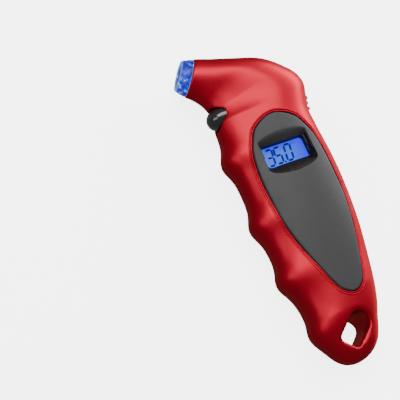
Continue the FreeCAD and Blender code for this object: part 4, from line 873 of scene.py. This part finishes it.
def make_panel():
    """The teardrop panel, cut to its outline, with the display's well through it, its walls and the scoop's
    sill painted near-black as shade.
    """
    outline = panel_outline()
    panel = panel_block(outline)
    combine(panel, [prism("teardrop", outline, 0, OVER)], "INTERSECT")
    view_x = (LCD.x - VIEW_WIDTH / 2, LCD.x + VIEW_WIDTH / 2)
    view_y = (LCD.y - VIEW_HEIGHT / 2, LCD.y + VIEW_HEIGHT / 2)
    combine(panel, [prism("well", round_rectangle(view_x, view_y, VIEW_CORNERS), 0, OVER)])
    coat(panel, PANEL, WELL_SHADE)
    # Painted shade: the well's walls and the upward-facing sill of the scoop take the near-black second
    # material.
    for face in panel.data.polygons:
        centre = face.center / MM
        past_side = abs(centre.x - LCD.x) - VIEW_WIDTH / 2
        past_end = abs(centre.y - LCD.y) - VIEW_HEIGHT / 2
        shaded_well_wall = past_side < 1.0 and past_end < 0.3 and abs(face.normal.z) < 0.5
        sill = in_shaded_sill(centre.x, centre.y) and face.normal.z > 0.3
        face.material_index = int(shaded_well_wall or sill)
    panel.data.shade_smooth()
    soften_edges(panel, 40.0)
    settle(panel, "housing", "dark_panel", "display_panel")


# ---- display ----

SEGMENTS = {"3": "abgcd", "5": "afgcd", "0": "abcdef"}
DIGIT_WIDTH, DIGIT_HEIGHT = 3.0, 7.5
STROKE = 0.95
SLANT = 0.12
DIGIT_RAISE = 0.25
DIGITS = (("3", -3.6), ("5", 0.5), ("0", 5.7))
DOT_PLACE, DOT_HALF = 4.5, 0.42
BAR_GAP = 0.18
MARKS, MARK_DROP, MARK_SIZE = (9.6, 10.7, 11.8), 2.0, (0.7, 0.9)
INK_LIFT, INK_THICK = 0.02, 0.04
INK_LEVEL = box_mm("lcd_glass")[1].z + INK_LIFT
# Ends of each segment, as columns and half rows of the digit.
SEGMENT_ENDS = {"a": ((0, 2), (1, 2)), "b": ((1, 1), (1, 2)), "c": ((1, 0), (1, 1)), "d": ((0, 0), (1, 0)),
                "e": ((0, 0), (0, 1)), "f": ((0, 1), (0, 2)), "g": ((0, 1), (1, 1))}


def printed(outline):
    """A thin layer of ink on the display's glass."""
    return prism("ink", outline, INK_LEVEL, INK_LEVEL + INK_THICK)


def stroke(start, end):
    """One bar of a digit with pointed ends, leaning to the right."""
    along = (end - start).normalized()
    side = Vector((-along.y, along.x)) * STROKE / 2
    tip = along * STROKE / 2
    outline = [start, start + tip - side, end - tip - side, end, end - tip + side, start + tip + side]
    base = LCD.y - DIGIT_HEIGHT / 2
    return printed([(p.x + (p.y - base) * SLANT, p.y) for p in outline])


def make_digits():
    """Three seven-segment digits and a decimal point."""
    base = LCD.y - DIGIT_HEIGHT / 2 + DIGIT_RAISE
    bars = []
    for digit, x in DIGITS:
        for key in SEGMENTS[digit]:
            start, end = (Vector((x + column * DIGIT_WIDTH, base + row * DIGIT_HEIGHT / 2))
                          for column, row in SEGMENT_ENDS[key])
            way = (end - start).normalized() * BAR_GAP
            bars.append(stroke(start + way, end - way))
    bars.append(printed(rectangle(DOT_PLACE - DOT_HALF, base - DOT_HALF,
                                  DOT_PLACE + DOT_HALF, base + DOT_HALF)))
    soften_edges(join(bars, "display_digits", INK), 30.0)


def join(parts, name, material, slot="display"):
    """Joins small meshes into one piece on the housing."""
    form = bmesh.new()
    for part in parts:
        form.from_mesh(part.data)
        bpy.data.objects.remove(part)
    data = bpy.data.meshes.new(name)
    form.to_mesh(data)
    form.free()
    piece = bpy.data.objects.new(name, data)
    bpy.context.scene.collection.objects.link(piece)
    coat(piece, material)
    data.shade_smooth()
    settle(piece, "housing", slot)
    return piece


def make_icons():
    """Three faint unit marks at the upper spine corner of the display."""
    row = LCD.y + VIEW_HEIGHT / 2 - MARK_DROP
    marks = [printed(rectangle(x, row, x + MARK_SIZE[0], row + MARK_SIZE[1])) for x in MARKS]
    soften_edges(join(marks, "display_marks", FAINT), 30.0)


# ---- nozzle and trigger ----

LENS_FRONT, LENS_BACK = 5.4, 6.0
LENS_FOOT, LENS_STEP, LENS_TAPER = 7.2, 0.45, 1.25
CHUCK_RADIUS = 5.6
DOME_POWER, DOME_RINGS = 0.94, 40
COLLAR, PLATE_HALF, PLATE_THICK, STEM_RADIUS = 1.2, 3.6, 1.3, 1.6


def turned(name, profile):
    """A piece turned about the nozzle's axis from (radius, place ahead of the rim) corners."""
    across = Vector((0, 0, 1))
    other = NOZZLE_AXIS.cross(across)
    rings = []
    for angle in around(96):
        way = across * math.cos(angle) + other * math.sin(angle)
        rings.append([RIM_CENTRE + NOZZLE_AXIS * z + way * r for r, z in profile])
    return skin_rings(name, rings, loop=True)


def make_lens():
    """Clear light ring: a tapered barrel with a rolled front edge and a foot inside the rim."""
    base = RIM_RADIUS - LENS_STEP
    front = base - LENS_TAPER
    profile = [(CHUCK_RADIUS + 0.2, -LENS_BACK), (LENS_FOOT, -LENS_BACK), (LENS_FOOT, 0.05), (base, 0.05),
               (base + 0.1, 0.5), (base - 0.35, 2.4), (front, LENS_FRONT - 0.7),
               (front - 0.15, LENS_FRONT - 0.2), (front - 0.5, LENS_FRONT),
               (CHUCK_RADIUS + 0.5, LENS_FRONT), (CHUCK_RADIUS - 0.1, LENS_FRONT - 0.3),
               (CHUCK_RADIUS - 0.3, CHUCK_MOUTH + 0.1), (CHUCK_RADIUS + 0.2, CHUCK_MOUTH + 0.1)]
    lens = turned("light_ring", profile)
    coat(lens, LENS)
    soften_edges(lens, 50.0)
    settle(lens, "housing", "clear_plastic", "nozzle_lens")


def make_trigger():
    """Glossy black dome, a little flatter than an ellipsoid, on its plate."""
    low, high = box_mm("trigger_button")
    centre = (low + high) / 2
    back = low.x + TRIGGER_PLATE
    rings = []
    for t in np.linspace(0.02, math.pi / 2, DOME_RINGS):
        share = math.sin(t) ** DOME_POWER
        half_width, half_height = (radius * share for radius in TRIGGER_RADII)
        rings.append(trigger_ring(back - TRIGGER_PLATE * math.cos(t), half_width, half_height, 72))
    rings.append(rings[-1] + np.array([COLLAR, 0, 0]))
    dome = skin_rings("trigger_dome", rings)
    plate = block("plate", (back, low.y, PARTING - PLATE_HALF),
                  (back + PLATE_THICK, high.y, PARTING + PLATE_HALF))
    stem = rod("stem", (back + 1.0, centre.y, PARTING), (high.x, centre.y, PARTING), STEM_RADIUS)
    combine(dome, [plate, stem], "UNION")
    coat(dome, GLOSS)
    dome.data.shade_smooth()
    soften_edges(dome, 35.0)
    settle(dome, "trigger", "gloss_black", "trigger_button")


# ---- battery door and screws ----

SMALL_CREASE = 35.0
SCREW_HEAD, SCREW_SHANK, SCREW_HEAD_THICK, SCREW_PITCH, THREAD_DEPTH = 2.2, 1.15, 1.5, 0.9, 0.25
DOOR_SHANK, DOOR_THREAD, DOOR_PITCH = 0.66, 0.86, 0.8
DOOR_THICK, DOOR_BEVEL, DOOR_CORNER = 1.2, 0.25, 0.9
HOOK_PLACE, HOOK_HALF = 5.5, 2
GROOVES, GROOVE_START, GROOVE_PITCH, GROOVE_HALF, GROOVE_RADIUS, GROOVE_SINK = 5, 5.0, 1.7, 6.5, 0.65, 0.25


def stack(name, x, y, profile):
    """A piece turned about an upright axis from (radius, height) pairs, lowest first."""
    rings = [[(x + radius * math.cos(a), y + radius * math.sin(a), height) for a in around(40)]
             for radius, height in profile]
    return skin_rings(name, rings)


def cross_recess(x, y, face, reach, depth):
    """Two crossed bars that sink a driver's cross into a screw's face."""
    wide = reach * 0.3
    bars = [block("bar", (x - a, y - b, face - 1), (x + a, y + b, face + depth))
            for a, b in ((reach, wide), (wide, reach))]
    return combine(bars[0], [bars[1]], "UNION")


def make_case_screws():
    """Pan-head screws with a cross recess and a coarse thread."""
    low, high = box_mm("case_screws")
    head, core = SCREW_HEAD, SCREW_SHANK - THREAD_DEPTH
    seat = low.z + SCREW_HEAD_THICK
    profile = [(head - 0.55, low.z), (head - 0.2, low.z + 0.1), (head - 0.03, low.z + 0.38),
               (head, low.z + 0.7), (head, seat), (core, seat)]
    for z in np.arange(seat + 1.0, high.z - 1.5, SCREW_PITCH):
        profile += [(core, z), (SCREW_SHANK - 0.02, z + SCREW_PITCH / 2)]
    profile += [(core, high.z - 1.2), (0.3, high.z)]
    screws = [combine(stack("screw", x, y, profile), [cross_recess(x, y, low.z, 1.25, 0.8)])
              for x, y in SCREW_PLACES]
    piece = join(screws, "case_screw_set", METAL, "steel")
    soften_edges(piece, SMALL_CREASE)
    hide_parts("case_screws")


def make_door_screw():
    """Countersunk screw that holds the battery door."""
    low, high = box_mm("door_screw")
    x, y = (low.x + high.x) / 2, (low.y + high.y) / 2
    head = (high.x - low.x) / 2
    profile = [(head - 0.08, low.z + 0.02), (head, low.z + 0.12), (0.9, DOOR_THICK), (DOOR_SHANK, 1.4)]
    for z in np.arange(1.8, high.z - DOOR_PITCH, DOOR_PITCH):
        profile += [(DOOR_SHANK, z), (DOOR_THREAD, z + DOOR_PITCH / 2)]
    profile.append((0.2, high.z))
    screw = combine(stack("screw", x, y, profile), [cross_recess(x, y, low.z, 1.1, 0.7)])
    piece = join([screw], "door_screw_set", METAL, "steel")
    soften_edges(piece, SMALL_CREASE)
    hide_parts("door_screw")


def make_battery_door():
    """Door with a round-cornered, bevelled plate, grip ribs beside its screw and two hooks."""
    low, high = box_mm("battery_door")
    rings = []
    bevel = DOOR_BEVEL
    for inset, rise in ((bevel, 0), (bevel * 0.3, bevel * 0.3), (0, bevel), (0, DOOR_THICK)):
        outline = round_rectangle((low.x + inset, high.x - inset), (low.y + inset, high.y - inset),
                                  (DOOR_CORNER,) * 4)
        rings.append([(x, y, low.z + rise) for x, y in outline])
    door = skin_rings("battery_door_plate", rings)
    centre = (low.x + high.x) / 2
    hooks = []
    for x in (centre - HOOK_PLACE, centre + HOOK_PLACE):
        left, right = x - HOOK_HALF, x + HOOK_HALF
        hooks.append(block("hook", (left, high.y - 3.8, DOOR_THICK - 0.2), (right, high.y - 2.8, high.z)))
        hooks.append(block("foot", (left, high.y - 3.7, high.z - 0.9), (right, high.y - 0.1, high.z - 0.02)))
    combine(door, hooks, "UNION")
    cuts = []
    for k in range(GROOVES):
        y, z = high.y - GROOVE_START - GROOVE_PITCH * k, low.z - GROOVE_SINK
        ends = (centre - GROOVE_HALF, y, z), (centre + GROOVE_HALF, y, z)
        cuts.append(rod("groove", *ends, GROOVE_RADIUS, 24))
    screw = middle("door_screw")
    sink = [(2.05, low.z - 0.05), (1.05, DOOR_THICK - 0.02), (1.05, DOOR_THICK + 1)]
    combine(door, [*cuts, stack("sink", screw.x, screw.y, sink)])
    coat(door, RED)
    soften_edges(door, SMALL_CREASE)
    settle(door, "housing", "red_shell", "battery_door")


# ---- the other CAD nodes ----


def dress_nodes():
    """Materials for the CAD pieces that stay as they are."""
    brass = brushed("brass_metal", (0.55, 0.36, 0.12), (0.72, 0.52, 0.2), 0.28)
    cell = brushed("cell_can", (0.5, 0.5, 0.5), (0.68, 0.68, 0.68), 0.22)
    rubber = speckled("black_rubber", (0.012, 0.012, 0.012), (0.03, 0.03, 0.03), 0.7)
    silicone = speckled("pale_silicone", (0.6, 0.6, 0.57), (0.72, 0.72, 0.7), 0.5)
    white = speckled("white_plastic", (0.7, 0.7, 0.67), (0.82, 0.82, 0.8), 0.4)
    black = speckled("black_plastic", (0.012, 0.012, 0.013), (0.03, 0.03, 0.032), 0.42)
    chip = speckled("chip_epoxy", (0.01, 0.01, 0.011), (0.028, 0.028, 0.03), 0.55)
    ceramic = speckled("part_ceramic", (0.2, 0.14, 0.08), (0.36, 0.3, 0.2), 0.4)
    led = glowing("led_light", 700.0, (0.2, 0.3, 1.0), (0.5, 0.6, 1.0), 6.0, Roughness=0.3)
    by_slot = {
        "red_shell": RED, "dark_panel": PANEL, "clear_plastic": clear_plastic(), "display": DISPLAY,
        "white_plastic": white, "black_plastic": black, "gloss_black": GLOSS, "circuit_board": board_green(),
        "chip_black": chip, "component": ceramic, "led_body": led, "rubber_black": rubber,
        "silicone": silicone, "brass": brass, "steel": METAL, "cell_steel": cell, "foam": rubber,
        "wire_red": speckled("wire_red", (0.45, 0.01, 0.01), (0.6, 0.03, 0.03), 0.4),
        "wire_black": speckled("wire_black", (0.012, 0.012, 0.012), (0.03, 0.03, 0.03), 0.4),
    }
    for part in frame["record"]["subparts"]:
        coat(frame["nodes"][part["node"]], by_slot[part["material_slot"]])


# ---- floor and lights ----

FLOOR_HALF, FLOOR_DROP = 1500.0, 0.0002
ROOM_LIGHT, WALL_LIGHT = 0.30, 2.2
WALL_WAY = Vector((0.90, 0.05, -0.43))


def make_floor():
    """A plain pale floor just under the piece, which its own surfaces don't reflect."""
    corners = rectangle(-FLOOR_HALF, -FLOOR_HALF, FLOOR_HALF, FLOOR_HALF)
    floor = mesh_piece("floor", [(x, y, 0) for x, y in corners], [(0, 1, 2, 3)], smooth=False)
    floor.location.z = -FLOOR_DROP
    coat(floor, glowing("floor_white", 3.0, (0.94,) * 3, (0.96,) * 3, 4.6, Roughness=0.8,
                        Specular_IOR_Level=0.1))
    floor.visible_glossy = False
    floor.visible_diffuse = False


def area_light(name, place, aim, width, height, power):
    light = bpy.data.objects.new(name, bpy.data.lights.new(name, "AREA"))
    light.data.shape = "RECTANGLE"
    light.data.size = width
    light.data.size_y = height
    light.data.energy = power
    light.location = place
    light.rotation_euler = (Vector(aim) - Vector(place)).to_track_quat("-Z", "Y").to_euler()
    bpy.context.scene.collection.objects.link(light)


def make_lights():
    """A broad softbox over the head, a strong one on the spine side, a weak fill, and a dim room."""
    aim = (0, 0, PARTING * MM)
    area_light("key", (-0.02, 0.34, 0.74), aim, 0.74, 0.40, 6.0)
    area_light("side", (0.80, 0.40, 0.30), aim, 0.7, 0.3, 9.0)
    area_light("fill", (-0.62, 0.10, 0.55), aim, 0.3, 0.5, 1.4)
    make_room()


def make_room():
    """A dim even room with a soft bright wall low on the spine side, which the casing's edge reflects."""
    world = bpy.data.worlds.new("studio")
    world.use_nodes = True
    nodes, links = world.node_tree.nodes, world.node_tree.links
    backdrop = nodes["Background"]
    backdrop.inputs["Color"].default_value = (1, 1, 1, 1)
    way = nodes.new("ShaderNodeTexCoord").outputs["Generated"]
    toward = nodes.new("ShaderNodeVectorMath")
    toward.operation = "DOT_PRODUCT"
    toward.inputs[1].default_value = WALL_WAY.normalized()
    links.new(way, toward.inputs[0])
    glow = nodes.new("ShaderNodeMapRange")
    glow.interpolation_type = "SMOOTHSTEP"
    glow.inputs["From Min"].default_value = 0.70
    glow.inputs["From Max"].default_value = 0.97
    glow.inputs["To Min"].default_value = ROOM_LIGHT
    glow.inputs["To Max"].default_value = WALL_LIGHT
    links.new(toward.outputs["Value"], glow.inputs["Value"])
    links.new(glow.outputs["Result"], backdrop.inputs["Strength"])
    bpy.context.scene.world = world


RED = red_coat()
PANEL = panel_plastic()
# Near-black painted shade for the display's well and the scoop's sill.
WELL_SHADE = well_painted_shade()
DISPLAY = display_light()
INK = ink("digit_ink", (0.0008, 0.0012, 0.16), (0.0012, 0.002, 0.22))
FAINT = ink("faint_ink", (0.02, 0.06, 0.62), (0.03, 0.08, 0.68))
LENS = lens_light()
METAL = brushed("zinc_steel", (0.42, 0.42, 0.43), (0.62, 0.62, 0.63), 0.3)
GLOSS = speckled("gloss_black", (0.006, 0.006, 0.007), (0.012, 0.012, 0.013), 0.12, bump=0.01,
                 Coat_Weight=0.6, Coat_Roughness=0.05)

make_camera()
dress_nodes()
make_casing()
make_trim()
make_panel()
make_digits()
make_icons()
make_lens()
make_trigger()
make_case_screws()
make_door_screw()
make_battery_door()
make_floor()
make_lights()
